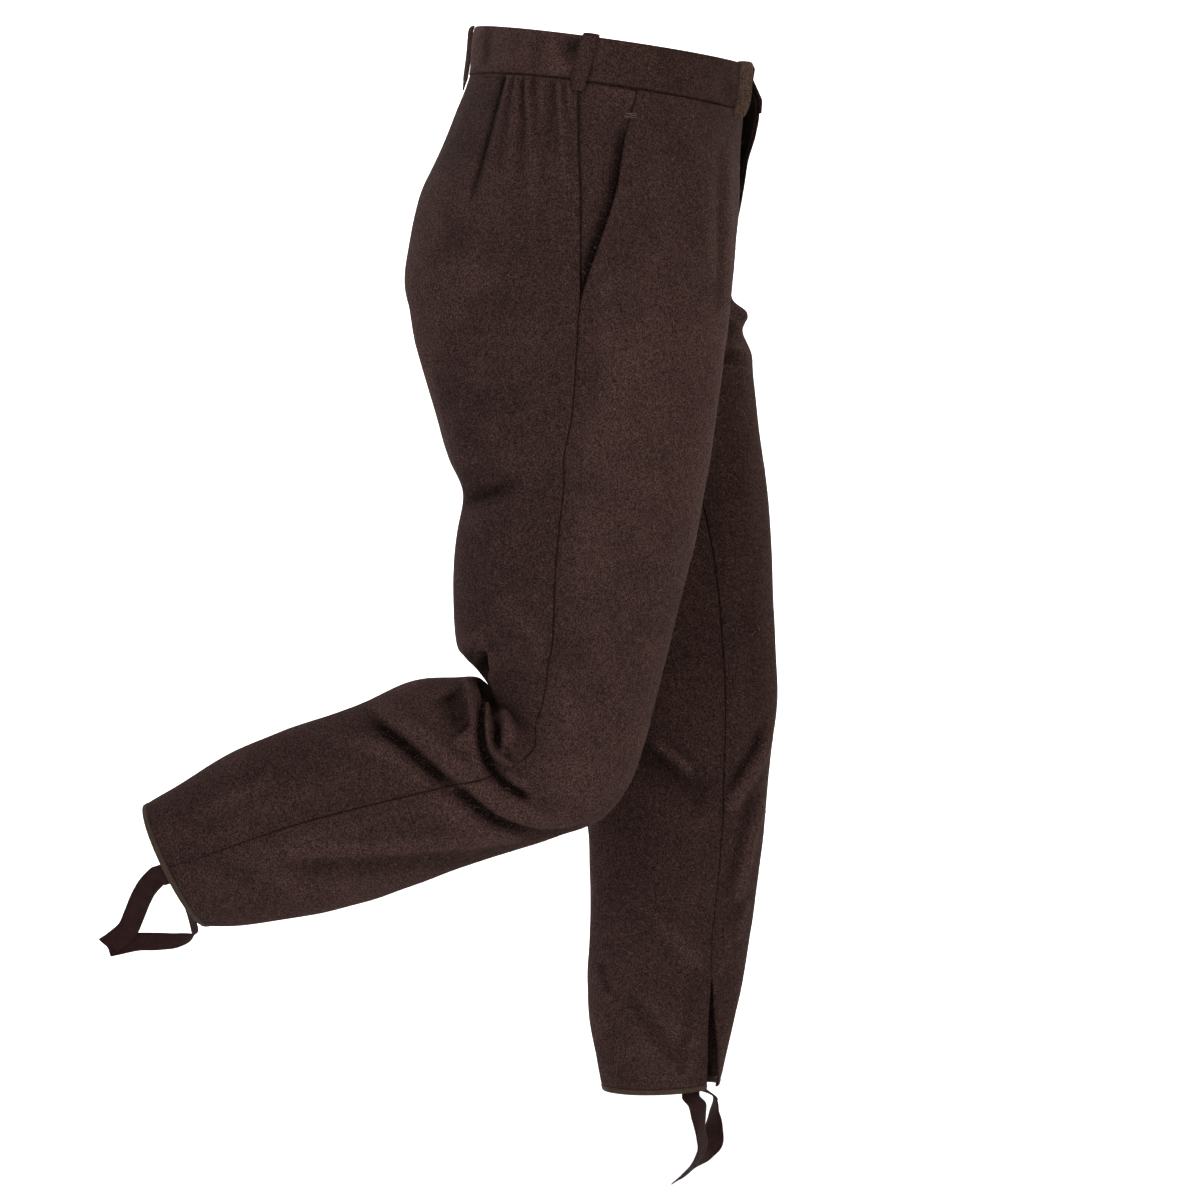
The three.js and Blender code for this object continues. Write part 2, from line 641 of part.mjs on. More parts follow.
function buttonPiece(index, material) {
  const profile = named(buttonColumns, buttonProfile).map((point) => (
    new THREE.Vector2(point.radius * button.radius, point.height * button.thickness)));
  const mesh = new THREE.Mesh(new THREE.LatheGeometry(profile, button.facets), material);
  mesh.name = `fly_button_${index + 1}`;
  const place = placeAtHeight(button.heights[index]);
  const angle = angleAcross("right", place, -button.across);
  mesh.position.copy(offCloth("right", place, angle, button.stand - flyShield.depth));
  mesh.quaternion.setFromUnitVectors(new THREE.Vector3(0, 1, 0), clothNormal("right", place, angle));
  return mesh;
}

// A belt loop: a strip that leaves the band at its top, stands off it and ends under its lower seam
function beltLoop(name, leg, material, [topAngle, bottomAngle]) {
  const path = named(loopColumns, loopPath);
  const half = loopThickness / 2;
  const outer = [];
  const inner = [];
  path.forEach((point, i) => {
    const before = path[Math.max(i - 1, 0)];
    const after = path[Math.min(i + 1, path.length - 1)];
    const run = Math.hypot(after.down - before.down, after.off - before.off);
    const normal = { down: -(after.off - before.off) / run, off: (after.down - before.down) / run };
    const face = (sign) => {
      const down = point.down + sign * half * normal.down;
      const off = point.off + sign * half * normal.off + bandProud;
      const place = down / bandHeight;
      const middle = mix(topAngle, bottomAngle, clamp01(down / bandHeight));
      const speed = roundSpeed(leg, Math.max(place, 0), middle);
      return [-1, 0, 1].map((across) => {
        const angle = middle + (across * loopWidth) / 2 / speed;
        return loopPoint(leg, place, angle, off);
      });
    };
    outer.push(face(1));
    inner.push(face(-1));
  });
  return wall(name, material, outer, inner);
}

// Above the band's top edge the surface goes on in the same direction
function loopPoint(leg, place, angle, off) {
  if (place >= 0) return offCloth(leg, place, angle, off);
  const top = offCloth(leg, 0, angle, off);
  const up = clothPoint(leg, 0, angle).sub(clothPoint(leg, hemStep, angle)).normalize();
  return top.addScaledVector(up, -place * bandHeight);
}

// The direction in which the cloth runs out at the hem
function hemDirection(leg, angle) {
  const last = sections[leg].length - 1;
  return clothPoint(leg, last, angle).sub(clothPoint(leg, last - hemStep, angle)).normalize();
}

// The flat binding below the cloth's hem, from one edge of the vent round to the other
function hemBinding(leg, material) {
  const last = sections[leg].length - 1;
  const start = innerEdge(leg, last, "front");
  const end = innerEdge(leg, last, "back");
  const rows = [0, 1].map(() => ({ outer: [], inner: [] }));
  for (let j = 0; j <= bindingColumns; j += 1) {
    const angle = mix(start, end, j / bindingColumns);
    const down = hemDirection(leg, angle);
    [seamGap, bindingHeight].forEach((drop, i) => {
      rows[i].outer.push(offCloth(leg, last, angle, bindingProud).addScaledVector(down, drop));
      rows[i].inner.push(offCloth(leg, last, angle, -clothWall - bindingProud).addScaledVector(down, drop));
    });
  }
  return wall(`hem_binding_${leg}`, material, rows.map((row) => row.outer), rows.map((row) => row.inner));
}

// The part of a strap that lies inside the hem, sewn to the wall at one angle
function tapeInside(leg, angle) {
  const step = 0.05;
  return tapeDepths.map((depth) => {
    const place = sections[leg].length - 1 - depth;
    const off = -(clothWall + bindingProud + seamGap + tapeThickness / 2 + tapeBow);
    const point = offCloth(leg, place, angle, off);
    const across = clothPoint(leg, place, angle + step).sub(clothPoint(leg, place, angle - step));
    if (depth === 0) point.addScaledVector(hemDirection(leg, angle), tapeDrop);
    return { point, across: across.normalize() };
  });
}

function stirrupStrap(leg, rows, material) {
  const [firstAngle, secondAngle] = strapAngles[leg];
  const outside = named(tapeColumns, rows).map((row) => ({
    point: new THREE.Vector3(row.x, row.y, row.z),
    across: new THREE.Vector3(row.wx, row.wy, row.wz).normalize(),
  }));
  const keys = [...tapeInside(leg, firstAngle), ...outside, ...tapeInside(leg, secondAngle).reverse()];
  for (let i = 1; i < keys.length; i += 1) {
    if (keys[i].across.dot(keys[i - 1].across) < 0) keys[i].across.negate();
  }
  const centres = new THREE.CatmullRomCurve3(keys.map((key) => key.point), false, "centripetal");
  const ends = keys.map((key) => key.point.clone().add(key.across));
  const tips = new THREE.CatmullRomCurve3(ends, false, "centripetal");
  const steps = (keys.length - 1) * 2;
  const outer = [];
  const inner = [];
  for (let i = 0; i <= steps; i += 1) {
    const t = i / steps;
    const centre = centres.getPoint(t);
    const tangent = centres.getTangent(t);
    const across = tips.getPoint(t).sub(centre);
    across.addScaledVector(tangent, -across.dot(tangent)).normalize();
    const normal = new THREE.Vector3().crossVectors(across, tangent).normalize();
    const edge = (side, lift) => centre.clone()
      .addScaledVector(across, (side * tapeWidth) / 2)
      .addScaledVector(normal, (lift * tapeThickness) / 2);
    outer.push([edge(-1, 1), edge(0, 1), edge(1, 1)]);
    inner.push([edge(-1, -1), edge(0, -1), edge(1, -1)]);
  }
  return wall(`stirrup_strap_${leg}`, material, outer, inner);
}

function finish(colour, roughness) {
  return new THREE.MeshStandardMaterial({ color: colour, roughness, metalness: 0 });
}

const wool = finish(colours.wool, 0.95);
const bandWool = finish(colours.waistband, 0.95);
const facingCloth = finish(colours.facing, 0.9);
const bindingCloth = finish(colours.binding, 0.85);
const tape = finish(colours.tape, 0.8);
const horn = finish(colours.horn, 0.4);

const trousers = new THREE.Group();
for (const leg of ["right", "left"]) {
  trousers.add(frontPanel(leg, wool));
  trousers.add(backPanel(leg, wool));
  trousers.add(waistband(leg, bandWool));
  trousers.add(pocketFacing(leg, wool));
  trousers.add(hemBinding(leg, bindingCloth));
  trousers.add(beltLoop(`belt_loop_side_${leg}`, leg, bandWool, loopAngles.side));
  trousers.add(beltLoop(`belt_loop_front_${leg}`, leg, bandWool, loopAngles.front));
}
trousers.add(beltLoop("belt_loop_back", "right", bandWool, loopAngles.back));
trousers.add(flyFacingPiece(facingCloth));
trousers.add(flyShieldPiece(wool));
button.heights.forEach((_, index) => trousers.add(buttonPiece(index, horn)));
trousers.add(stirrupStrap("right", rightTape, tape));
trousers.add(stirrupStrap("left", leftTape, tape));

export default trousers;
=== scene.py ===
import math

import bpy
import numpy as np
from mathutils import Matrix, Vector


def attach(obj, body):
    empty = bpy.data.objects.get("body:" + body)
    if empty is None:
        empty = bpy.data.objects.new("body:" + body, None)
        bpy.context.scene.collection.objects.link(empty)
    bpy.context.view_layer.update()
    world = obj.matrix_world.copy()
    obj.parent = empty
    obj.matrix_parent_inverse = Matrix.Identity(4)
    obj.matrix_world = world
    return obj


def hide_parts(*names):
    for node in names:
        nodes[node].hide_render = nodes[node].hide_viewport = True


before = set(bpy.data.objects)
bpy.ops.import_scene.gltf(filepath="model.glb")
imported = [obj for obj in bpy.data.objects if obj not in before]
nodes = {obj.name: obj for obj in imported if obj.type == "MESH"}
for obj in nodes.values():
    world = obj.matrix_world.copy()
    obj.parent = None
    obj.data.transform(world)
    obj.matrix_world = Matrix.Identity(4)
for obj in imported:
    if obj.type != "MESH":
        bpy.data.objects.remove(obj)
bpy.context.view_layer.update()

scene = bpy.context.scene
mm = 0.001

# The form of the legs, in millimetres: a section lies across the leg from a front point to a back point
sectionColumns = (
    "frontY", "frontZ", "backY", "backZ", "middle", "outer", "inner", "dip",
    "side", "mouth", "inseam", "centreFront", "centreBack",
)
hipSections = [
    (-135, -20.5, 134, 17.5, 0, 150, 150, 14, 0.575, 0.38, 0.5, -135, 134),
    (-134, -69, 140, -31, 2, 158, 156, 10, 0.594, 0.389, 0.5, -134, 140),
    (-130, -112, 165, -99, 14, 158, 150, 5, 0.545, 0.392, 0.5, -130, 164),
    (-128, -168, 190, -161, 34, 149, 126, 2, 0.493, 0.389, 0.5, -127.5, 185),
]
rightSections = hipSections + [
    (-122, -238, 202, -238, 58, 130, 100, 0, 0.465, 0.435, 0.5, -112, 180),
    (-118, -272, 197, -272, 74, 115, 94, 0, 0.467, 0.467, 0.5, -86, 148),
    (-115, -296, 193, -296, 84, 107, 90, 0, 0.475, 0.475, 0.5, -42, 108),
    (-112, -316, 188, -316, 90, 102, 90, 0, 0.48, 0.48, 0.5, 38, 38),
    (-104, -379, 169, -379, 96, 96, 91, 0, 0.515, 0.515, 0.38, 0, 0),
    (-97.5, -418, 158, -417, 97, 94, 88, 0, 0.555, 0.555, 0.3, 0, 0),
    (-92, -450, 144, -450, 97, 93, 86, 0, 0.58, 0.58, 0.27, 0, 0),
    (-84, -490, 149.5, -487, 97, 92, 84, 0, 0.57, 0.57, 0.25, 0, 0),
    (-73, -535, 154, -533, 98, 90, 82, 0, 0.555, 0.555, 0.24, 0, 0),
    (-58, -599, 151, -594, 98, 88, 80, 0, 0.543, 0.543, 0.24, 0, 0),
    (-50, -628, 142, -611, 98, 88, 80, 0, 0.572, 0.572, 0.25, 0, 0),
    (-43.6, -655, 131, -622, 98, 88, 80, 0, 0.602, 0.602, 0.25, 0, 0),
    (-34, -693, 119, -636, 99, 88, 79, 0, 0.652, 0.652, 0.26, 0, 0),
    (-19, -735, 109, -649, 99, 87, 78, 0, 0.71, 0.71, 0.27, 0, 0),
    (2, -763.5, 103, -660, 99, 86, 77, 0, 0.69, 0.69, 0.28, 0, 0),
    (24.6, -777, 112.5, -648, 99, 85, 76, 0, 0.59, 0.59, 0.28, 0, 0),
    (49, -785, 127.5, -631, 99, 84, 75, 0, 0.49, 0.49, 0.27, 0, 0),
    (82, -796, 150, -630, 99, 82, 74, 0, 0.44, 0.44, 0.26, 0, 0),
    (140, -815, 195, -634, 100, 79, 72, 0, 0.44, 0.44, 0.25, 0, 0),
    (204.6, -838, 253, -660, 100, 75, 69, 0, 0.49, 0.49, 0.25, 0, 0),
    (272.7, -858.5, 315, -681, 100, 71, 65, 0, 0.51, 0.51, 0.24, 0, 0),
    (326, -868, 366, -702, 100, 67, 61, 0, 0.5, 0.5, 0.2, 0, 0),
    (362, -872, 410, -728, 100, 62, 57, 2, 0.5, 0.5, 0.13, 0, 0),
    (390, -872.5, 450, -752, 100, 57, 53, 4, 0.52, 0.52, 0.075, 0, 0),
]
leftSections = hipSections + [
    (-122, -238, 202, -238, 58, 130, 100, 0, 0.465, 0.435, 0.5, -112, 180),
    (-131, -272, 197, -272, 74, 115, 94, 0, 0.467, 0.467, 0.5, -86, 148),
    (-140, -296, 193, -296, 84, 107, 90, 0, 0.475, 0.475, 0.5, -42, 108),
    (-146, -316, 188, -316, 90, 102, 90, 0, 0.48, 0.48, 0.5, 38, 38),
    (-153, -379, 166, -379, 95, 96, 90, 0, 0.5, 0.5, 0.34, 0, 0),
    (-161, -440, 138, -440, 95, 93, 86, 0, 0.5, 0.5, 0.25, 0, 0),
    (-166, -500, 112, -500, 95, 89, 82, 0, 0.5, 0.5, 0.23, 0, 0),
    (-168, -560, 90, -560, 95, 86, 79, 0, 0.5, 0.5, 0.224, 0, 0),
    (-170.5, -620, 70, -620, 95, 83, 76, 0, 0.5, 0.5, 0.23, 0, 0),
    (-171, -660, 56, -660, 95, 81, 74, 0, 0.5, 0.5, 0.24, 0, 0),
    (-166, -700, 42, -700, 95, 79, 72, 0, 0.5, 0.5, 0.24, 0, 0),
    (-162, -740, 31, -740, 95, 77, 70, 0, 0.5, 0.5, 0.245, 0, 0),
    (-158, -790, 23, -790, 95, 75, 68, 0, 0.5, 0.5, 0.248, 0, 0),
    (-151, -850, 21, -850, 95, 71, 64, 0, 0.5, 0.5, 0.248, 0, 0),
    (-144, -903, 21.5, -903, 95, 67, 61, 0, 0.5, 0.5, 0.245, 0, 0),
    (-137.5, -944, 22.5, -944, 95, 64, 58, 0, 0.5, 0.5, 0.215, 0, 0),
    (-127.5, -985, 21, -985, 95, 61, 56, 0, 0.5, 0.5, 0.16, 0, 0),
    (-118.5, -1022, 13.5, -1024, 95, 58, 54, 1, 0.5, 0.5, 0.1, 0, 0),
    (-113, -1045, 8.5, -1050, 95, 56, 52, 2.5, 0.5, 0.5, 0.06, 0, 0),
]
crotchSection = 7
legsApart = 0.6
sideSign = {"right": -1, "left": 1}
seamGap = 0.3
sewnGap = 0.05
clothWall = 2.0
underlay = clothWall + 2 * seamGap

# How far the left front's edge springs forward at each height
flareRows = [
    (0, -195), (1.5, -175), (4, -155), (7, -135), (10, -115), (14.5, -95), (17, -75), (17, -56),
    (12, -45), (7.5, -35), (9.5, -24), (6, -15), (2, -8),
]
flare = {"reach": 46, "across": 0.5, "clear": 6}

# Creases: the leg's outer (1) or inner (-1) side, then y and z at both ends, width and height
creases = {
    "right": [
        (1, 250, -745, 330, -775, 14, -3), (-1, 118, -620, 99, -700, 8, -9),
        (-1, 120, -690, 80, -748, 9, -6), (-1, 100, -786, 260, -790, 12, -4),
        (1, 150, -462, 95, -446, 9, -3.5), (-1, 150, -462, 90, -440, 10, -4),
    ],
    "left": [
        (1, -30, -690, -110, -745, 15, -5), (1, -60, -720, -140, -790, 14, 3),
        (1, 20, -850, -30, -880, 12, -3),
    ],
}

# Folds: a ridge along a line seen from the side, steep towards the groove beside it, and with dark, a painted
# shade in that groove
folds = {
    "right": [
        {"line": [(118.9, -600), (118, -626), (112.2, -641), (105.5, -654), (102.6, -671.5), (103.6, -687),
                  (100.7, -700)], "rise": 4, "soft": 16, "steep": 1.5, "groove": 13, "width": 5, "dark": 2.6},
        {"line": [(116, -641), (117.9, -660), (117, -679), (115, -693.5), (109.3, -703), (100.7, -708.8),
                  (90.2, -712.6), (80, -711)], "rise": 8.5, "soft": 3, "steep": 3},
        {"line": [(120.8, -636), (124, -662), (124.5, -679), (121.5, -698), (115.5, -713), (106, -727),
                  (92.1, -738.5), (72, -749)], "groove": 9, "width": 5.5, "at": 0, "dark": 1.8},
        {"line": [(239, -653), (198, -679), (153.3, -717.4), (131.3, -734.5), (105.5, -756.5), (74, -769),
                  (48.2, -770.8), (20, -764)],
         "rise": 5, "soft": 13, "steep": 5, "groove": 4.5, "width": 9, "dark": 0.7},
        {"line": [(320, -800), (201, -793.8), (137, -790.9), (93, -786), (48, -776)],
         "rise": 2.2, "soft": 10, "steep": 6, "groove": 2, "width": 11, "dark": 0.5},
        {"line": [(160, -640), (150, -662), (136, -682)], "groove": 5, "width": 14, "at": 0, "dark": 0.9},
        {"line": [(141, -628), (134, -650), (129, -676)], "rise": 4.5, "soft": 6, "steep": 5},
        {"line": [(139, -602), (124, -616), (117, -628)], "groove": 3.2, "width": 10, "at": 0, "dark": 0.8},
    ],
    "left": [
        {"line": [(-12, -700), (-62, -727), (-112, -756)], "groove": 3.2, "width": 27, "at": 0, "dark": 1.1},
        {"line": [(20, -730), (-30, -765), (-50, -830), (-30, -900)], "width": 34, "at": 0, "dark": 0.9},
        {"line": [(-42, -696), (-62, -710), (-86, -731)], "rise": 2.5, "soft": 6, "steep": 6},
        {"line": [(-168, -680), (-153, -714), (-139, -736), (-126, -756), (-116, -774)],
         "rise": 5, "soft": 8, "steep": 6, "groove": 1, "width": 7, "dark": 0.5},
        {"line": [(-158, -750), (-146, -786), (-139, -816), (-133, -842), (-127, -868)],
         "rise": 4.5, "soft": 7, "steep": 6, "groove": 0.8, "width": 7, "dark": 0.4},
        {"line": [(-140, -858), (-134, -884), (-131, -905)], "rise": 1.8, "soft": 5, "steep": 4},
        {"line": [(26, -810), (21, -836), (15, -862)], "rise": 2.2, "soft": 5, "steep": 4},
        {"line": [(10, -922), (6, -940), (2, -955)], "groove": 1.8, "width": 5, "at": 0},
    ],
}
crook = {"y": 106, "z": -655, "height": 4.5, "reach": 15}

# Soft creases that only the cloth itself has
softCreases = {
    "right": [
        (1, -119, -112, -116, -300, 5, 2.4), (1, -108, -120, -106, -270, 5, -2.2),
        (1, -97, -150, -99, -240, 5, 1.1),
        (1, 60, -560, 20, -640, 26, -1.6), (1, 100, -560, 60, -600, 14, 1.4),
        (1, -20, -690, 40, -730, 20, 1.5), (1, 40, -700, 70, -640, 16, -1.2),
        (1, 330, -730, 395, -760, 9, 1.6), (1, 350, -820, 400, -800, 10, -1.6),
        (1, 200, -700, 260, -690, 10, 1.5), (1, 150, -200, 190, -300, 22, -1.5),
        (1, 130, -330, 165, -420, 16, 1.6), (1, 30, -350, 60, -470, 30, -1.4),
        (-1, -60, -420, 20, -520, 24, -2), (-1, 40, -600, 90, -560, 16, 1.8),
        (-1, 200, -700, 320, -740, 12, 1.8), (-1, -10, -700, 60, -740, 16, -1.5),
    ],
    "left": [
        (-1, -150, -420, -120, -560, 18, 1.8), (-1, -60, -480, -30, -600, 26, -1.6),
        (-1, -140, -560, -150, -700, 10, -1.4), (-1, -30, -860, -100, -930, 14, 1.8),
        (-1, -120, -900, -90, -1000, 8, 1.4), (-1, -20, -960, -60, -1010, 9, -1.5),
        (-1, -86, -930, -72, -1030, 5, -1.2),
        (1, -140, -400, -100, -540, 20, 2), (1, 60, -520, 20, -620, 22, -2),
        (1, -150, -620, -90, -660, 14, 1.6), (1, -20, -800, -110, -860, 14, 1.8),
        (1, -60, -930, -110, -960, 10, -1.8), (1, 0, -980, -60, -1020, 9, 1.4),
    ],
}
# Bulges of the left front at the crotch: angle, z, reach round, reach down and height
leftBulges = [(-0.3, -268, 0.2, 12, 15), (-0.12, -300, 0.3, 16, 3)]
# Broad and narrow unevenness of the cloth: how far, how wide and a seed
unevenness = [(1.15, 74, 3), (0.5, 27, 5)]

# Gathers below the band: where each ridge starts, how it leans, its width, length and height
gatherTop = -45
gatherRows = [
    (97.5, 0.22, 3.2, 85, 3.6), (87.8, 0.1, 2.4, 120, 5.4), (78.9, -0.02, 2.6, 175, 5.8),
    (67.5, 0.02, 3.4, 140, 4.4), (60.5, 0.08, 2.6, 70, 2.8), (50.4, -0.05, 2.5, 130, 6.0),
    (40.4, -0.04, 2.7, 85, 4.4), (31.5, 0.0, 1.9, 45, 2.6),
]


def named(columns, rows):
    table = np.array(rows, float)
    return {column: table[:, i] for i, column in enumerate(columns)}


sections = {"right": named(sectionColumns, rightSections), "left": named(sectionColumns, leftSections)}
lastPlace = {leg: len(table["middle"]) - 1 for leg, table in sections.items()}


def smooth(low, high, value):
    t = np.clip((value - low) / (high - low), 0, 1)
    return t * t * (3 - 2 * t)


def mix(a, b, t):
    return a + (b - a) * t


def unit(vectors):
    return vectors / np.maximum(np.linalg.norm(vectors, axis=-1, keepdims=True), 1e-9)


# A Catmull-Rom value between four neighbours
def curveThrough(p0, p1, p2, p3, t):
    a = 2 * p1 + (p2 - p0) * t + (2 * p0 - 5 * p1 + 4 * p2 - p3) * t**2
    return (a + (3 * p1 - p0 - 3 * p2 + p3) * t**3) / 2


def throughPoints(points, steps):
    last = len(points) - 1
    t = np.linspace(0, last, last * steps + 1)
    i = np.clip(np.floor(t).astype(int), 0, last - 1)
    p = [points[np.clip(i + k, 0, last)] for k in (-1, 0, 1, 2)]
    return curveThrough(*p, (t - i)[:, None])


# Smooth noise from -1 to 1 at points, with features about size across
def softNoise(points, size, seed):
    scaled = points / size + seed * 17.31
    cell = np.floor(scaled).astype(np.int64)
    part = scaled - cell
    part = part * part * (3 - 2 * part)
    total = np.zeros(points.shape[:-1])
    for corner in np.ndindex(2, 2, 2):
        at = cell + np.array(corner)
        mixed = (at[..., 0] * 73856093) ^ (at[..., 1] * 19349663) ^ (at[..., 2] * 83492791) ^ (seed * 7919)
        mixed = ((mixed ^ (mixed >> 13)) * 1274126177) & 0x7FFFFFFF
        mixed = ((mixed ^ (mixed >> 15)) * 2246822519) & 0x7FFFFFFF
        weight = np.ones(points.shape[:-1])
        for axis in range(3):
            weight = weight * (part[..., axis] if corner[axis] else 1 - part[..., axis])
        total += weight * (mixed / 0x3FFFFFFF - 1)
    return total


def sectionAt(leg, place):
    table, last = sections[leg], lastPlace[leg]
    i = np.clip(np.floor(place).astype(int), 0, last - 1)
    t = place - i
    found = {"rise": i < crotchSection}
    for column, values in table.items():
        after = np.minimum(i + 2, last)
        if column in ("centreFront", "centreBack"):
            after = np.where(i + 2 > crotchSection, i + 1, after)
        found[column] = curveThrough(values[np.maximum(i - 1, 0)], values[i], values[i + 1], values[after], t)
    narrow = np.minimum(found["inner"], found["middle"] - legsApart)
    found["inner"] = np.where(found["rise"], found["inner"], narrow)
    return found


def angleOfShare(share):
    return np.arccos(1 - 2 * np.clip(share, 0, 1))


def centreAngle(section):
    return np.arcsin(np.clip((section["middle"] - sewnGap / 2) / section["inner"], 0, 1))


# The smooth form at arrays of places down the leg and angles round it
def legForm(leg, place, angle):
    place, angle = np.broadcast_arrays(np.asarray(place, float), np.asarray(angle, float))
    section = sectionAt(leg, place)
    sine, cosine = np.sin(angle), np.cos(angle)
    reach = np.where(sine >= 0, section["outer"], section["inner"]) * sine
    along = (1 - cosine) / 2
    limit = np.maximum(centreAngle(section), 0.02)
    front = cosine > 0
    turn = np.where(front, np.abs(angle), np.abs(math.pi - np.abs(angle)))
    seam = np.where(front, section["centreFront"], section["centreBack"])
    target = (seam - section["frontY"]) / (section["backY"] - section["frontY"])
    own = (1 - np.cos(np.where(front, limit, math.pi - limit))) / 2
    pull = (target - own) * np.clip(turn / limit, 0, 1) ** 2
    along = along + np.where(section["rise"] & (sine < 0), pull, 0)
    dip = section["dip"] * np.abs(sine)
    fall = np.arctan2(section["backZ"] - section["frontZ"], section["backY"] - section["frontY"])
    x = section["middle"] + reach
    y = mix(section["frontY"], section["backY"], along) + dip * np.sin(fall)
    z = mix(section["frontZ"], section["backZ"], along) - dip * np.cos(fall)
    if leg == "left":
        forward = np.interp(z, [row[1] for row in flareRows], [row[0] for row in flareRows], left=0)
        forward = np.where(front, forward * np.clip(1 - np.abs(x) / flare["reach"], 0, 1) ** 2, 0)
        y = y - forward
        x = x - np.maximum(0, forward - flare["clear"]) * flare["across"]
    return np.stack([sideSign[leg] * x, y, z], -1)


def distanceToLine(y, z, y0, z0, y1, z1):
    dy, dz = y1 - y0, z1 - z0
    t = np.clip(((y - y0) * dy + (z - z0) * dz) / (dy * dy + dz * dz), 0, 1)
    return np.hypot(y - y0 - t * dy, z - z0 - t * dz), t


# Signed distance from a fold's line, and the share of the way along it
def alongFold(y, z, line):
    points = throughPoints(np.array(line, float), 3)
    steps = np.linalg.norm(np.diff(points, axis=0), axis=-1)
    done = np.concatenate([[0], steps.cumsum()])
    nearest, signed, share = np.full(y.shape, 1e9), np.zeros(y.shape), np.zeros(y.shape)
    for k in range(len(steps)):
        (y0, z0), (y1, z1) = points[k], points[k + 1]
        distance, t = distanceToLine(y, z, y0, z0, y1, z1)
        side = np.where((y1 - y0) * (z - z0) - (z1 - z0) * (y - y0) > 0, 1, -1)
        nearer = distance < nearest
        nearest = np.where(nearer, distance, nearest)
        signed = np.where(nearer, distance * side, signed)
        share = np.where(nearer, (done[k] + t * steps[k]) / done[-1], share)
    return signed, share


def foldRelief(y, z, fold):
    away, share = alongFold(y, z, fold["line"])
    soft, steep, width = fold.get("soft", 1), fold.get("steep", 1), fold.get("width", 1)
    ridge = fold.get("rise", 0) * np.exp(-((away / np.where(away > 0, steep, soft)) ** 2))
    middle = fold.get("at", steep + 0.8 * width)
    groove = fold.get("groove", 0) * np.exp(-(((away - middle) / width) ** 2))
    return (ridge - groove) * smooth(0, 0.16, share) * smooth(1, 0.84, share)


# Painted shade on the far leg's inner side below the crotch, where the near leg shades it, stronger higher up
between = {"top": 1.25, "low": 0.45, "from": -560, "to": -800, "sine": (0.55, -0.15), "below": (-210, -290)}


# Painted shade: how dark the light leaves the hollow of a fold, and the far leg's side that faces the near
# one
def foldShade(leg, point, angle):
    total = np.zeros(angle.shape)
    if leg == "left":
        z = point[..., 2]
        depth = mix(between["top"], between["low"], smooth(between["from"], between["to"], z))
        total = depth * smooth(*between["sine"], np.sin(angle)) * smooth(*between["below"], z)
    for fold in folds[leg]:
        if "dark" in fold:
            away, share = alongFold(point[..., 1], point[..., 2], fold["line"])
            off = (away - fold.get("at", fold.get("steep", 1) + 0.8 * fold["width"])) / fold["width"]
            fade = smooth(-0.05, 0.3, share) * smooth(1.05, 0.7, share)
            fade = fade * smooth(0, 0.35, np.sin(angle) * -sideSign[leg])
            total = total + fold["dark"] * np.exp(-(off**2)) * fade
    return total


# How far creases and gathers move the cloth outwards
def reliefAt(leg, point, angle, place, fine):
    sine = np.sin(angle)
    y, z = point[..., 1], point[..., 2]
    relief = np.zeros(y.shape)
    rows = creases[leg] + (softCreases[leg] if fine else [])
    for side, y0, z0, y1, z1, width, height in rows:
        distance, t = distanceToLine(y, z, y0, z0, y1, z1)
        fade = 1 - 0.35 * np.abs(2 * t - 1) if fine else 1
        relief = relief + smooth(0.05, 0.45, sine * side) * height * fade * np.exp(-((distance / width) ** 2))
    if fine:
        for fold in folds[leg]:
            relief = relief + smooth(0.05, 0.4, sine * -sideSign[leg]) * foldRelief(y, z, fold)
    if fine and leg == "right":
        near = np.hypot(y - crook["y"], z - crook["z"]) / crook["reach"]
        relief = relief + crook["height"] * np.exp(-(near**2)) * smooth(0.85, 0.4, np.abs(sine))
    if leg == "left":
        for turned, bulgeZ, turn, rise, height in leftBulges:
            away = ((angle - turned) / turn) ** 2 + ((z - bulgeZ) / rise) ** 2
            relief = relief + height * np.exp(-away)
    if fine:
        below = gatherTop - z
        for y0, lean, width, length, height in gatherRows:
            centre = y0 + lean * below
            spread = width * (1 + np.clip(below / 60, 0, 2))
            fade = np.clip(1 - below / length, 0, 1) ** 1.4 * smooth(1, 1.12, place)
            ridge = np.exp(-(((y - centre) / spread) ** 2))
            relief = relief + np.where(sine > 0, height * fade * ridge, 0)
        for height, size, seed in unevenness:
            relief = relief + height * softNoise(point, size, seed)
    return relief


# The direction out of the cloth's outer face
def outward(leg, place, angle, step, at):
    across = at(leg, place, angle + step) - at(leg, place, angle - step)
    down = at(leg, place + step, angle) - at(leg, place - step, angle)
    return -sideSign[leg] * unit(np.cross(across, down))


def clothPoint(leg, place, angle, fine=True):
    point = legForm(leg, place, angle)
    relief = reliefAt(leg, point, angle, place, fine)
    return point + outward(leg, place, angle, 0.01, legForm) * relief[..., None]


def bandPoint(leg, place, angle):
    return clothPoint(leg, place, angle, False)


# Points off the cloth's outer face, outwards where off is positive
def offCloth(leg, place, angle, off, at=clothPoint):
    place, angle = np.broadcast_arrays(np.asarray(place, float), np.asarray(angle, float))
    return at(leg, place, angle) + outward(leg, place, angle, 0.012, at) * np.asarray(off)[..., None]


# Millimetres round the leg for one radian
def roundSpeed(leg, place, angle):
    apart = legForm(leg, place, angle + 0.02) - legForm(leg, place, angle - 0.02)
    return np.linalg.norm(apart, axis=-1) / 0.04


def inseamHalfGap(leg, place):
    fromHem = np.linalg.norm(legForm(leg, place, 0.0) - legForm(leg, float(lastPlace[leg]), 0.0), axis=-1)
    return mix(11, 0.06, np.clip(fromHem / 112, 0, 1))


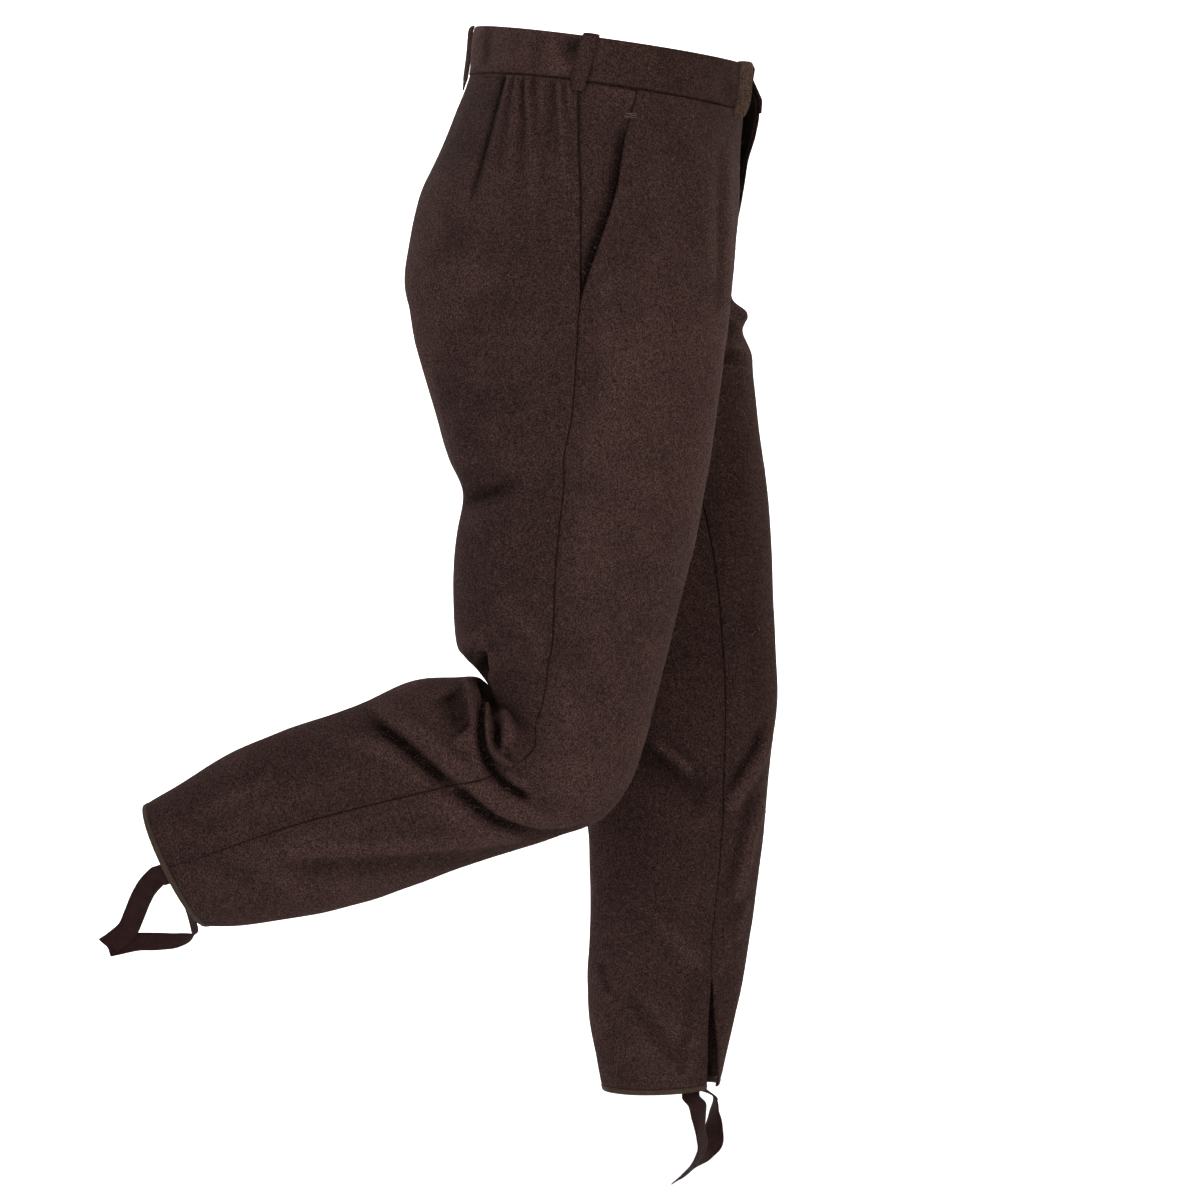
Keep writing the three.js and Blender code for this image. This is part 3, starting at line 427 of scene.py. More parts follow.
def innerEdge(leg, place, panel):
    section = sectionAt(leg, place)
    inseam = angleOfShare(section["inseam"])
    trim = inseamHalfGap(leg, place) / roundSpeed(leg, place, -inseam)
    centre = centreAngle(section)
    if panel == "front":
        atInseam = trim - inseam
        return np.where(section["rise"], np.maximum(-centre, atInseam), atInseam)
    atInseam = 2 * math.pi - inseam - trim
    return np.where(section["rise"], np.minimum(math.pi + centre, atInseam), atInseam)


def sideAngle(leg, place):
    return angleOfShare(sectionAt(leg, place)["side"])


def mouthAngle(leg, place):
    return np.minimum(angleOfShare(sectionAt(leg, place)["mouth"]), sideAngle(leg, place))


# Places down the leg about spacing apart, closer together at the top and the hem
fineRows = {"right": (14, 21, 0.55), "left": (11, 18, 0.8)}


def rowPlaces(leg, first, spacing):
    table = sections[leg]
    front = np.hypot(np.diff(table["frontY"]), np.diff(table["frontZ"]))
    back = np.hypot(np.diff(table["backY"]), np.diff(table["backZ"]))
    length = np.maximum(front, back)
    places = [first + d / length[first] for d in (0.1, 0.8, 1.8)]
    for i in range(first, lastPlace[leg]):
        low, high, finer = fineRows[leg]
        steps = max(1, math.ceil(length[i] / (spacing * (finer if low <= i < high else 1))))
        places += [i + k / steps for k in range(1 if i == first else 0, steps)]
    return np.array(places + [lastPlace[leg] - d / length[-1] for d in (1.8, 0.8, 0)])


edgeSteps = np.array([0, 0.4, 0.9, 1.7, 3.4])


# Angles across a panel, closer together at both edges
def columnAngles(leg, places, start, end, shares):
    turn = np.sign(end - start)[:, None]
    first = start[:, None] + turn * edgeSteps / roundSpeed(leg, places, start)[:, None]
    last = end[:, None] - turn * edgeSteps[::-1] / roundSpeed(leg, places, end)[:, None]
    middle = first[:, -1:] + (last[:, :1] - first[:, -1:]) * shares
    return np.hstack([first, middle, last])


def newMesh(name, points, faces, material):
    mesh = bpy.data.meshes.new(name)
    mesh.from_pydata((np.asarray(points) * mm).tolist(), [], faces)
    mesh.polygons.foreach_set("use_smooth", [True] * len(mesh.polygons))
    mesh.materials.append(material)
    mesh.update()
    piece = bpy.data.objects.new(name, mesh)
    scene.collection.objects.link(piece)
    return piece


# How far each point of a grid lies below its neighbours, in millimetres, for the painted shade in hollows
def cavityOf(points, normals):
    depth = np.zeros(points.shape[:2])
    for step, share in ((2, 0.9), (4, 0.45), (8, 0.18)):
        around = []
        for axis in (0, 1):
            pad = [(step, step) if k == axis else (0, 0) for k in range(3)]
            wide = np.pad(points, pad, mode="edge")
            for start in (0, 2 * step):
                around.append(np.take(wide, range(start, start + points.shape[axis]), axis=axis))
        pull = np.sum((sum(around) / 4 - points) * normals, axis=-1)
        edge = np.minimum(np.arange(pull.shape[1]), np.arange(pull.shape[1])[::-1]) / 8
        depth += share * pull * np.clip(edge, 0, 1)[None, :]
    return depth


outerFaces = {}


def gridIndex(grid):
    rows, columns = grid.shape[:2]
    return np.arange(rows * columns).reshape(rows, columns)


def gridFaces(grid):
    index = gridIndex(grid)
    a, b, c, d = index[:-1, :-1], index[1:, :-1], index[1:, 1:], index[:-1, 1:]
    return np.stack([a, b, c, d], -1).reshape(-1, 4)


# Distances across and down a grid from its first column and row
def gridLengths(grid):
    across = np.linalg.norm(np.diff(grid, axis=1), axis=-1).cumsum(axis=1)
    down = np.linalg.norm(np.diff(grid, axis=0), axis=-1)
    return np.hstack([np.zeros((grid.shape[0], 1)), across]), down


# A closed wall between two grids of points; extra holds one number a point for each named attribute
def wall(name, outer, inner, material, extra=None):
    rows, columns = outer.shape[:2]
    index, count = gridIndex(outer), rows * columns
    faces = [gridFaces(outer), gridFaces(outer)[:, ::-1] + count]
    outerFaces[name] = outer
    rims = [(index[0, :-1], index[0, 1:]), (index[-1, 1:], index[-1, :-1])]
    rims += [(index[1:, 0], index[:-1, 0]), (index[:-1, -1], index[1:, -1])]
    for p, q in rims:
        faces.append(np.stack([p, q, q + count, p + count], -1))
    faces = np.vstack(faces)
    points = np.vstack([outer.reshape(-1, 3), inner.reshape(-1, 3)])
    corners = points[faces]
    volume = np.einsum("ij,ij->i", corners[:, 0], np.cross(corners[:, 1], corners[:, 2])).sum()
    volume += np.einsum("ij,ij->i", corners[:, 0], np.cross(corners[:, 2], corners[:, 3])).sum()
    if volume < 0:
        faces = faces[:, ::-1]
    piece = newMesh(name, points, faces.tolist(), material)
    across, down = gridLengths(outer)
    down = np.repeat(np.concatenate([[0], down.mean(axis=1).cumsum()])[:, None], columns, axis=1)
    flat = np.stack([across, down], -1).reshape(-1, 2) * mm
    flat = np.vstack([flat, flat])
    layer = piece.data.uv_layers.new(name="cloth")
    loopPoints = np.zeros(len(piece.data.loops), int)
    piece.data.loops.foreach_get("vertex_index", loopPoints)
    layer.data.foreach_set("uv", flat[loopPoints].reshape(-1))
    for key, values in (extra or {}).items():
        attribute = piece.data.attributes.new(key, "FLOAT", "POINT")
        both = np.concatenate([values[0].reshape(-1), values[1].reshape(-1)])
        attribute.data.foreach_set("value", both.astype(np.float32))
    cells = np.cross(np.diff(outer, axis=0)[:, :-1], np.diff(outer, axis=1)[:-1])
    area = np.linalg.norm(cells, axis=-1).sum()
    print(f"{name}: {2 * len(faces)} triangles, cloth {area * mm * mm:.4f} m2,"
          f" {across[:, -1].max() * mm:.3f} by {down[:, 0].max() * mm:.3f} m")
    return piece


def finishPiece(piece, slot, *replaced):
    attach(piece, "root")
    if replaced:
        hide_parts(*replaced)
    return piece


# Shader sums on sockets: a Term wraps one output, and numbers go straight onto an input
class Term:
    def __init__(self, tree, socket):
        self.tree, self.socket = tree, socket

    def sum(self, operation, *others):
        node = self.tree.nodes.new("ShaderNodeMath")
        node.operation = operation
        for socket, value in zip(node.inputs, (self, *others)):
            join(self.tree, value, socket)
        return Term(self.tree, node.outputs[0])

    def __add__(self, other):
        return self.sum("ADD", other)

    def __mul__(self, other):
        return self.sum("MULTIPLY", other)

    def __sub__(self, other):
        return self.sum("SUBTRACT", other)

    def __radd__(self, other):
        return self + other

    def __rmul__(self, other):
        return self * other

    def __rsub__(self, other):
        return self * -1 + other

    def between(self, low, high):
        node = self.tree.nodes.new("ShaderNodeMapRange")
        node.interpolation_type = "SMOOTHSTEP"
        for key, value in (("Value", self), ("From Min", low), ("From Max", high)):
            join(self.tree, value, node.inputs[key])
        return Term(self.tree, node.outputs[0])


def join(tree, value, socket):
    if isinstance(value, Term):
        tree.links.new(value.socket, socket)
    else:
        socket.default_value = value


class Graph:
    def make(self, kind, settings=None, output=0, **inputs):
        node = self.tree.nodes.new(kind)
        for key, value in (settings or {}).items():
            setattr(node, key, value)
        for key, value in inputs.items():
            name = key.replace("_", " ")
            join(self.tree, value, next(s for s in node.inputs if s.name == name and s.enabled))
        if isinstance(output, int):
            return Term(self.tree, [socket for socket in node.outputs if socket.enabled][output])
        return Term(self.tree, node.outputs[output])


class Shader(Graph):
    def __init__(self, name):
        self.material = bpy.data.materials.new(name)
        self.material.use_nodes = True
        self.tree = self.material.node_tree
        self.surface = self.tree.nodes["Principled BSDF"]

    def noise(self, size, vector, detail=2.0, roughness=0.5, distortion=0.0):
        return self.make("ShaderNodeTexNoise", None, "Fac", Vector=vector, Scale=1 / (size * mm),
                         Detail=detail, Roughness=roughness, Distortion=distortion)

    def turned(self, vector, rotation, scale):
        return self.make("ShaderNodeMapping", {"vector_type": "POINT"}, "Vector", Vector=vector,
                         Rotation=rotation, Scale=scale)

    def blend(self, amount, first, second):
        node = self.tree.nodes.new("ShaderNodeMix")
        node.data_type = "RGBA"
        join(self.tree, amount, node.inputs["Factor"])
        for socket, value in zip([s for s in node.inputs if s.type == "RGBA"], (first, second)):
            join(self.tree, value if isinstance(value, Term) else (*value, 1), socket)
        return Term(self.tree, [s for s in node.outputs if s.type == "RGBA"][0])

    def set(self, **inputs):
        for key, value in inputs.items():
            join(self.tree, value, self.surface.inputs[key.replace("_", " ")])

    def bump(self, height, distance, strength=1.0):
        self.set(Normal=self.make("ShaderNodeBump", None, "Normal", Height=height, Distance=distance * mm,
                                  Strength=strength))


# A node group whose inputs have names; the last steps make real mesh and give it its material
class Scatter(Graph):
    def __init__(self, name, sockets):
        self.tree = bpy.data.node_groups.new(name, "GeometryNodeTree")
        self.tree.interface.new_socket("Mesh", in_out="INPUT", socket_type="NodeSocketGeometry")
        self.keys = {}
        for key, kind in sockets.items():
            made = self.tree.interface.new_socket(key, in_out="INPUT", socket_type="NodeSocket" + kind)
            self.keys[key] = made.identifier
        self.tree.interface.new_socket("Mesh", in_out="OUTPUT", socket_type="NodeSocketGeometry")
        self.start = self.tree.nodes.new("NodeGroupInput")
        self.end = self.tree.nodes.new("NodeGroupOutput")

    def given(self, key):
        return Term(self.tree, self.start.outputs[key])

    def close(self, instances):
        real = self.make("GeometryNodeRealizeInstances", Geometry=instances)
        real = self.make("GeometryNodeSetMaterial", Geometry=real, Material=self.given("Material"))
        join(self.tree, real, self.end.inputs["Mesh"])
        return self

    # Runs the group on a mesh, and leaves a plain piece with the result
    def run(self, name, points, faces, edges=(), **values):
        mesh = bpy.data.meshes.new(name + "_source")
        mesh.from_pydata((np.asarray(points) * mm).tolist(), edges, faces)
        source = bpy.data.objects.new(name + "_source", mesh)
        scene.collection.objects.link(source)
        modifier = source.modifiers.new("scatter", "NODES")
        modifier.node_group = self.tree
        for key, value in values.items():
            modifier[self.keys[key]] = value
        bpy.context.view_layer.update()
        made = bpy.data.meshes.new_from_object(source.evaluated_get(bpy.context.evaluated_depsgraph_get()))
        bpy.data.objects.remove(source)
        bpy.data.meshes.remove(mesh)
        made.name = name
        made.polygons.foreach_set("use_smooth", [True] * len(made.polygons))
        piece = bpy.data.objects.new(name, made)
        scene.collection.objects.link(piece)
        print(f"{name}: {sum(len(p.vertices) - 2 for p in made.polygons)} triangles")
        return piece


# Milled wool: dark and mid brown fibres with a few pale ones, with painted shade in hollows and grooves and a
# painted highlight on ridges
def woolMaterial(name, look):
    shader = Shader(name)
    place = shader.make("ShaderNodeTexCoord", None, "Object")
    grain = shader.noise(1.5, place, 3.0, 0.7)
    mottle = shader.noise(5.5, place, 2.0, 0.55)
    cloud = shader.noise(48, place, 2.0, 0.5)
    base = shader.blend(grain.between(0.34, 0.68), look["dark"], look["light"])
    # Painted shade from an attribute: hollows, folds and the far leg's inner side get darker, and cloth that
    # stands out gets a painted highlight
    paintedShade = shader.make("ShaderNodeAttribute", {"attribute_name": "paintedShade"}, "Fac")
    shade = (mottle - 0.5) * look["mottle"] + (cloud - 0.5) * look["cloud"] + 1.0
    paintedRidgeLight = (0.0 - paintedShade).between(0.0, 1.2) * look["ridge"]
    shade = shade * (1.0 - paintedShade.between(-0.2, 3.4) * look["paintedShade"] + paintedRidgeLight)
    tone = shader.make("ShaderNodeVectorMath", {"operation": "SCALE"}, 0, Vector=base, Scale=shade)
    fibres = None
    for k, turn in enumerate(((0.3, 0.5, 0.2), (1.2, -0.4, 0.9), (-0.7, 1.1, 1.9), (0.9, 0.2, -1.1))):
        turned = shader.turned(place, turn, (1, 1, 1))
        streak = shader.noise(0.8 + 0.05 * k, shader.turned(turned, (0, 0, 0), (1, 1, 0.14)), 1.0, 0.5, 0.8)
        streak = streak.between(look["fibreFrom"], look["fibreFrom"] + 0.09)
        fibres = streak if fibres is None else fibres.sum("MAXIMUM", streak)
    tone = shader.blend(fibres * look["fibres"], tone, look["pale"])
    # Painted shade in seam and dart grooves: the colour blends towards a near-black groove colour
    seam = shader.make("ShaderNodeAttribute", {"attribute_name": "seam"}, "Fac")
    groove = 1.0 - seam  # the seam attribute is 1 away from seams
    tone = shader.blend(groove * 0.5, tone, look["grooveShadeColour"])
    height = grain * 0.5 + mottle * 0.6 + fibres * 0.25 - groove * 3.2
    shader.set(Base_Color=tone, Roughness=0.95, Sheen_Weight=look["sheen"], Sheen_Roughness=0.4,
               Sheen_Tint=(*look["sheenTint"], 1), Specular_IOR_Level=0.02)
    shader.bump(height, 0.35)
    return shader.material


# Besides the wool's own colours: a near-black painted shade colour for seam grooves, and how strong the
# painted shade in hollows and the painted highlight on ridges are
woolLook = {
    "dark": (0.0115, 0.0054, 0.005), "light": (0.0575, 0.0322, 0.0302), "pale": (0.15, 0.11, 0.09),
    "grooveShadeColour": (0.004, 0.002, 0.002), "mottle": 0.7, "cloud": 0.35, "fibreFrom": 0.67, "fibres": 0.45,
    "sheen": 0.02, "sheenTint": (0.8, 0.5, 0.25), "paintedShade": 0.85, "ridge": 0.5,
}
bandLook = {**woolLook, "dark": (0.013, 0.0062, 0.0056), "light": (0.066, 0.0365, 0.033)}
# A lighter copy of the band wool for the front loops: painted light on faces that turn to the front lamp
litLoopLook = {**bandLook, "dark": (0.023, 0.013, 0.0105), "light": (0.105, 0.066, 0.053)}


# Plain woven tape or facing, with ribs across it on its own UV map
def tapeMaterial(name, look):
    shader = Shader(name)
    flat = shader.make("ShaderNodeUVMap", {"uv_map": "cloth"}, "UV")
    place = shader.make("ShaderNodeTexCoord", None, "Object")
    parts = shader.tree.nodes.new("ShaderNodeSeparateXYZ")
    join(shader.tree, flat, parts.inputs[0])
    across, along = (Term(shader.tree, parts.outputs[k]) for k in (0, 1))
    ribs = (along * (2 * math.pi / (look["rib"] * mm))).sum("SINE") * 0.5 + 0.5
    threads = (across * (2 * math.pi / (look["thread"] * mm))).sum("SINE") * 0.5 + 0.5
    wear = shader.noise(9, place, 3.0, 0.6)
    fuzz = shader.noise(0.8, place, 2.0, 0.6)
    amount = (fuzz * 0.5 + ribs * threads * 0.25 + wear * 0.35).between(0.25, 0.8)
    shader.set(Base_Color=shader.blend(amount, look["dark"], look["light"]), Roughness=look["roughness"],
               Specular_IOR_Level=0.04)
    shader.bump(ribs * threads + fuzz * 0.4, look["depth"])
    return shader.material


bindingLook = {
    "dark": (0.038, 0.0255, 0.0195), "light": (0.092, 0.064, 0.05), "rib": 0.9, "thread": 0.9,
    "roughness": 0.85, "depth": 0.12,
}
strapLook = {
    "dark": (0.0155, 0.0066, 0.0064), "light": (0.044, 0.0215, 0.0205), "rib": 1.1, "thread": 0.8,
    "roughness": 0.8, "depth": 0.15,
}
facingLook = {
    "dark": (0.016, 0.01, 0.01), "light": (0.05, 0.031, 0.031), "rib": 0.8, "thread": 0.8,
    "roughness": 0.75, "depth": 0.1,
}
wool = woolMaterial("wool", woolLook)
bandWool = woolMaterial("band_wool", bandLook)
litLoopWool = woolMaterial("lit_loop_wool", litLoopLook)
bindingCloth = tapeMaterial("hem_tape", bindingLook)
strapCloth = tapeMaterial("strap_tape", strapLook)
facingCloth = tapeMaterial("facing_cloth", facingLook)
print("materials made")

# Panels: the rolled edge, the painted shade in the seam groove, the dart and the pocket's edge
panel = {
    "rowSpacing": 3.8, "frontColumns": 72, "backColumns": 92,
    "rollDepth": 0.65, "rollWidth": 0.6, "grooveWidth": 0.65, "groove": 0.7,
    "hemRoll": 0.55, "hemGroove": 0.3,
    "gatherReach": {"right": (62, 0.42, 118, 0.68), "left": (62, 0.42, 62, 0.42)},
    "evenFrom": 3.0, "evenTo": 8.0, "halfGap": 0.06,
}
# Where the wedge at the knee hides the side seam
kneeHollow = {"y": 95, "z": -716, "from": 8, "to": 17}
mouth = {"z": -190, "spread": 75, "height": 3.4, "reach": 34}
dart = {"line": (103, -48, 136, -178), "width": 1.0, "fold": 1.9, "foldWidth": 3.5}


# How much the outer face sinks at a distance from an edge
def rollAt(distance):
    return panel["rollDepth"] * np.exp(-((distance / panel["rollWidth"]) ** 2))


def edgeDistance(outer):
    across, down = gridLengths(outer)
    down = np.vstack([np.zeros((1, outer.shape[1])), down.cumsum(axis=0)])
    return np.minimum(np.minimum(across, across[:, -1:] - across), np.minimum(down, down[-1:] - down))


# Two faces of cloth with rounded edges, the seam attribute that paints shade into seam and dart grooves, and
# painted shade in hollows
def clothPiece(name, leg, places, angles, material, lift=0.0, thick=clothWall, dartOn=False, shade=None):
    rows = np.repeat(places[:, None], angles.shape[1], axis=1)
    middle = clothPoint(leg, rows, angles)
    distance = edgeDistance(middle)
    roll = rollAt(distance)
    # Painted shade along the panel's edges, where the seam groove lies: weaker towards the hem, and gone
    # where the knee's wedge hides the side seam
    groove = np.exp(-((distance / panel["grooveWidth"]) ** 2)) * panel["groove"]
    if leg == "right":
        apart = np.hypot(middle[..., 1] - kneeHollow["y"], middle[..., 2] - kneeHollow["z"])
        groove = groove * smooth(kneeHollow["from"], kneeHollow["to"], apart)
        fade = smooth(430, 300, middle[..., 1])
    else:
        fade = smooth(-1040, -700, middle[..., 2])
    groove, roll = groove * mix(panel["hemGroove"], 1, fade), roll * mix(panel["hemRoll"], 1, fade)
    offset = np.zeros(distance.shape) + lift
    # The dart: painted shade along its line, and a fold in the cloth's form
    if dartOn:
        away, t = distanceToLine(middle[..., 1], middle[..., 2], *dart["line"])
        groove = np.maximum(groove, np.exp(-((away / dart["width"]) ** 2)) * 0.9 * smooth(1.0, 0.86, t))
        offset = offset - dart["fold"] * np.exp(-((away / dart["foldWidth"]) ** 2)) * smooth(1.0, 0.7, t)
    normal = outward(leg, rows, angles, 0.012, clothPoint)
    outer = middle + normal * (offset - roll)[..., None]
    inner = middle + normal * (offset - thick + 0.45 * roll)[..., None]
    seam = 1 - groove
    # Painted shade from the cavity, the folds, beside the dart, and any shade given
    paintedShade = cavityOf(outer, normal) + foldShade(leg, middle, angles)
    if dartOn:
        paintedShade = paintedShade + 1.5 * np.exp(-(((away - 1) / 2) ** 2)) * smooth(1.0, 0.75, t)
    if shade is not None:
        paintedShade = paintedShade + shade
    return wall(name, outer, inner, material, {"seam": (seam, seam), "paintedShade": (paintedShade, paintedShade)})


def frontPanel(leg):
    places = rowPlaces(leg, 1, panel["rowSpacing"])
    start = mouthAngle(leg, places) - panel["halfGap"] / roundSpeed(leg, places, mouthAngle(leg, places))
    end = innerEdge(leg, places, "front")
    shares = np.linspace(0, 1, panel["frontColumns"] + 2)[1:-1]
    angles = columnAngles(leg, places, start, end, shares)
    edge = legForm(leg, places, start)[:, None, :]
    away = np.linalg.norm(legForm(leg, places[:, None], angles) - edge, axis=-1) / mouth["reach"]
    along = np.maximum(0, 1 - np.abs(edge[..., 2] - mouth["z"]) / mouth["spread"])
    lift = mouth["height"] * along**2 * (3 - 2 * along) * np.clip(1 - away, 0, 1) ** 2
    piece = clothPiece(f"cloth_front_{leg}", leg, places, angles, wool, lift)
    return finishPiece(piece, "wool_cloth", f"front_{leg}")


def backPanel(leg):
    places = rowPlaces(leg, 1, panel["rowSpacing"])
    start = sideAngle(leg, places) + panel["halfGap"] / roundSpeed(leg, places, sideAngle(leg, places))
    end = innerEdge(leg, places, "back")
    shares = np.linspace(0, 1, panel["backColumns"] + 2)[1:-1][None, :]
    width = (end - start) * roundSpeed(leg, places, (start + end) / 2)
    reach, split, lowReach, lowSplit = panel["gatherReach"][leg]
    down = smooth(panel["evenFrom"], panel["evenTo"], places)[:, None]
    near = np.clip(mix(reach, lowReach, down) / width[:, None], 0, 0.6)
    split = mix(split, lowSplit, down)
    beyond = near + (1 - near) * (shares - split) / (1 - split)
    angles = columnAngles(leg, places, start, end, np.where(shares < split, near * shares / split, beyond))
    piece = clothPiece(f"cloth_back_{leg}", leg, places, angles, wool, dartOn=True)
    return finishPiece(piece, "wool_cloth", f"back_{leg}")


for leg in ("right", "left"):
    frontPanel(leg)
    backPanel(leg)
print("panels made")

# Waistband halves, rippled over the gathers
band = {
    "height": 49, "rows": 18, "columns": 120, "proud": 1.0, "wall": 3.2, "ripple": 3.2, "rippleSize": 23,
    "bulge": 0.6,
}


def waistband(leg):
    edges = np.array([0, 0.7, 1.7, 3.4]) / band["height"]
    middle = np.linspace(edges[-1], 1 - edges[-1], band["rows"])[1:-1]
    places = np.concatenate([edges, middle, 1 - edges[::-1]])
    start = -centreAngle(sectionAt(leg, places))
    shares = np.linspace(0, 1, band["columns"] + 2)[1:-1]
    angles = columnAngles(leg, places, start, math.pi - start, shares)
    rows = np.repeat(places[:, None], angles.shape[1], axis=1)
    point = bandPoint(leg, rows, angles)
    behind = smooth(-20, 40, point[..., 1])
    ripple = softNoise(point * np.array([1, 1, 0.55]), band["rippleSize"], 11) * (0.25 + 0.75 * behind)
    ripple = ripple * smooth(7, 20, np.abs(point[..., 0]))
    inside = np.sin(np.clip(rows, 0, 1) * math.pi)
    roll = rollAt(edgeDistance(point))
    offset = band["proud"] + (band["ripple"] * ripple + band["bulge"]) * inside
    normal = outward(leg, rows, angles, 0.012, bandPoint)
    outer = point + normal * (offset - roll)[..., None]
    inner = point + normal * (offset - band["wall"] + 0.6 * roll)[..., None]
    # Painted shade along the band's lower seam, darker in the ripples' lows and lighter on their crests, and
    # the front half of the band darker than the back
    paintedSeamShade = np.exp(-(((1 - rows) * band["height"] / 1.0) ** 2)) * 0.5
    paintedShade = cavityOf(outer, normal) - 1.7 * ripple * inside + mix(1.6, -0.15, smooth(-60, 60, point[..., 1]))
    piece = wall(f"cloth_waistband_{leg}", outer, inner, bandWool,
                 {"seam": (1 - paintedSeamShade, 1 - paintedSeamShade), "paintedShade": (paintedShade, paintedShade)})
    return finishPiece(piece, "band_cloth", f"waistband_{leg}")


for leg in ("right", "left"):
    waistband(leg)
print("waistband made")

# Pocket facing, fly facing and fly shield
facingShape = {"rows": 70, "columns": 26, "tuck": 24, "visible": 18, "end": 5.2, "sink": 0.8, "topRise": 0.42}


def pocketFacing(leg):
    places = np.linspace(1 + sewnGap / band["height"], facingShape["end"], facingShape["rows"])
    side, edge = sideAngle(leg, places), mouthAngle(leg, places)
    speed = roundSpeed(leg, places, side)
    visible = (side - edge) * speed
    t = np.linspace(0, 2, facingShape["columns"])[None, :]
    shown, tucked = np.minimum(t, 1), np.maximum(t - 1, 0)
    travel = mix(seamGap / 2, visible[:, None], shown) + facingShape["tuck"] * tucked
    angles = side[:, None] - travel / speed[:, None]
    seamDepth = underlay * (1 - np.clip(visible / facingShape["visible"], 0, 1))[:, None]
    depth = mix(seamDepth, underlay, smooth(0, facingShape["sink"], shown))
    depth = depth * (1 - facingShape["topRise"] * smooth(1.35, 1.0, places)[:, None] * smooth(1, 0.75, shown))
    # Painted shadow on the facing beside the front panel's edge, under the open pocket mouth, fading out near
    # the band
    shade = 3.4 * np.exp(-(((visible[:, None] - travel) / 10) ** 2)) * smooth(1.3, 2.2, places)[:, None]
    piece = clothPiece(f"cloth_pocket_facing_{leg}", leg, places, angles, wool, -depth, shade=shade)
    return finishPiece(piece, "wool_cloth", f"pocket_facing_{leg}")


def angleAcross(leg, place, across):
    section = sectionAt(leg, place)
    offset = across - section["middle"]
    reach = np.where(offset > 0, section["outer"], section["inner"])
    return np.arcsin(np.clip(offset / reach, -1, 1))


flyFacing = {
    "rows": 80, "columns": 22, "from": 0.3, "to": 40, "depths": (underlay + 0.5, underlay + 0.5), "wall": 1.2,
    "end": 3.45,
}
flyShield = {
    "rows": 60, "columns": 22, "from": 16, "to": -30, "depths": (underlay, 8.4), "wall": 2.0, "end": 3.4,
}


def flyStrip(name, leg, shape, material, slot):
    places = np.linspace(0.05, shape["end"], shape["rows"])
    t = np.linspace(0, 1, shape["columns"])[None, :]
    rows = np.repeat(places[:, None], shape["columns"], axis=1)
    angles = angleAcross(leg, rows, mix(shape["from"], shape["to"], t))
    lift = -np.repeat(mix(*shape["depths"], smooth(0, 0.42, t)), len(places), axis=0)
    piece = clothPiece(f"cloth_{name}_{leg}", leg, places, angles, material, lift, shape["wall"])
    return finishPiece(piece, slot, f"{name}_{leg}")


for leg in ("right", "left"):
    pocketFacing(leg)
flyStrip("fly_facing", "left", flyFacing, facingCloth, "facing_cloth")
flyStrip("fly_shield", "right", flyShield, wool, "wool_cloth")
print("facings made")

# Belt loops: how far each point of the strip is down the band, and how far it stands off
loop = {
    "width": 15, "thick": 1.8, "columns": 9, "steps": 6, "bow": 0.5,
    "side": (1.69, 1.755), "front": (0.3, 0.38), "back": (math.pi, math.pi),
    "turn": {"front": 0.7, "back": -0.35}, "near": {"back": 0.62},
}
loopRows = [(1.5, 1.4), (-0.5, 4), (5, 6.2), (20, 6.7), (38, 6.5), (48, 5.2), (55, 3), (60, 1.3)]
loopPath = np.array(loopRows, float)


def loopPoint(leg, down, angle, off):
    place = np.maximum(down / band["height"], 0)
    up = unit(bandPoint(leg, 0.0, angle) - bandPoint(leg, 0.25, angle))
    return offCloth(leg, place, angle, off, bandPoint) + up * np.maximum(-down, 0)[..., None]


def beltLoop(name, leg, key):
    ends, turn = loop[key], loop["turn"].get(key, 0)
    path = throughPoints(loopPath, loop["steps"])
    run = unit(np.gradient(path, axis=0))
    down, off = path[:, 0], path[:, 1] * loop["near"].get(key, 1)
    share = np.clip(down / band["height"], 0, 1)
    middle = mix(ends[0], ends[1], share)
    speed = roundSpeed(leg, np.maximum(down / band["height"], 0), middle)
    across = np.linspace(-1, 1, loop["columns"])
    angles = middle[:, None] + across * loop["width"] / 2 * math.cos(turn) / speed[:, None]
    tilt = -across * loop["width"] / 2 * math.sin(turn) * smooth(0.2, 3, off)[:, None]
    half = loop["thick"] / 2 * (1 - 0.55 * np.abs(across) ** 6)
    bow = loop["bow"] * (1 - across**2)
    faces = []
    for sign in (1, -1):
        downs = down[:, None] - sign * half * run[:, 1:]
        offs = off[:, None] + sign * half * run[:, :1] + band["proud"] + bow + tilt
        faces.append(loopPoint(leg, downs, angles, offs))
    seam = np.ones(faces[0].shape[:2])
    # Front loops take the lighter copy, a painted highlight; the others take the band wool
    cloth = litLoopWool if key == "front" else bandWool
    piece = wall(f"cloth_{name}", faces[0], faces[1], cloth, {"seam": (seam, seam)})
    return finishPiece(piece, "band_cloth", name)


for leg in ("right", "left"):
    for key in ("side", "front"):
        beltLoop(f"belt_loop_{key}_{leg}", leg, key)
beltLoop("belt_loop_back", "right", "back")
print("belt loops made")

# Hem binding: a tape folded over the edge. Its rows say how far down each point is, and how far it rounds in
binding = {"height": 6, "proud": 0.4, "columns": 110, "tape": 0.45}
bindingRows = [(0.1, 0.3), (0.7, 0), (1.6, 0), (3, 0), (4.4, 0), (5.3, 0.1), (5.8, 0.4), (6, 1)]


def hemDown(leg, angle):
    last = float(lastPlace[leg])
    return unit(clothPoint(leg, last, angle) - clothPoint(leg, last - 0.25, angle))


def hemEnds(leg):
    last = np.array([float(lastPlace[leg])])
    return [float(innerEdge(leg, last, side)[0]) for side in ("front", "back")]


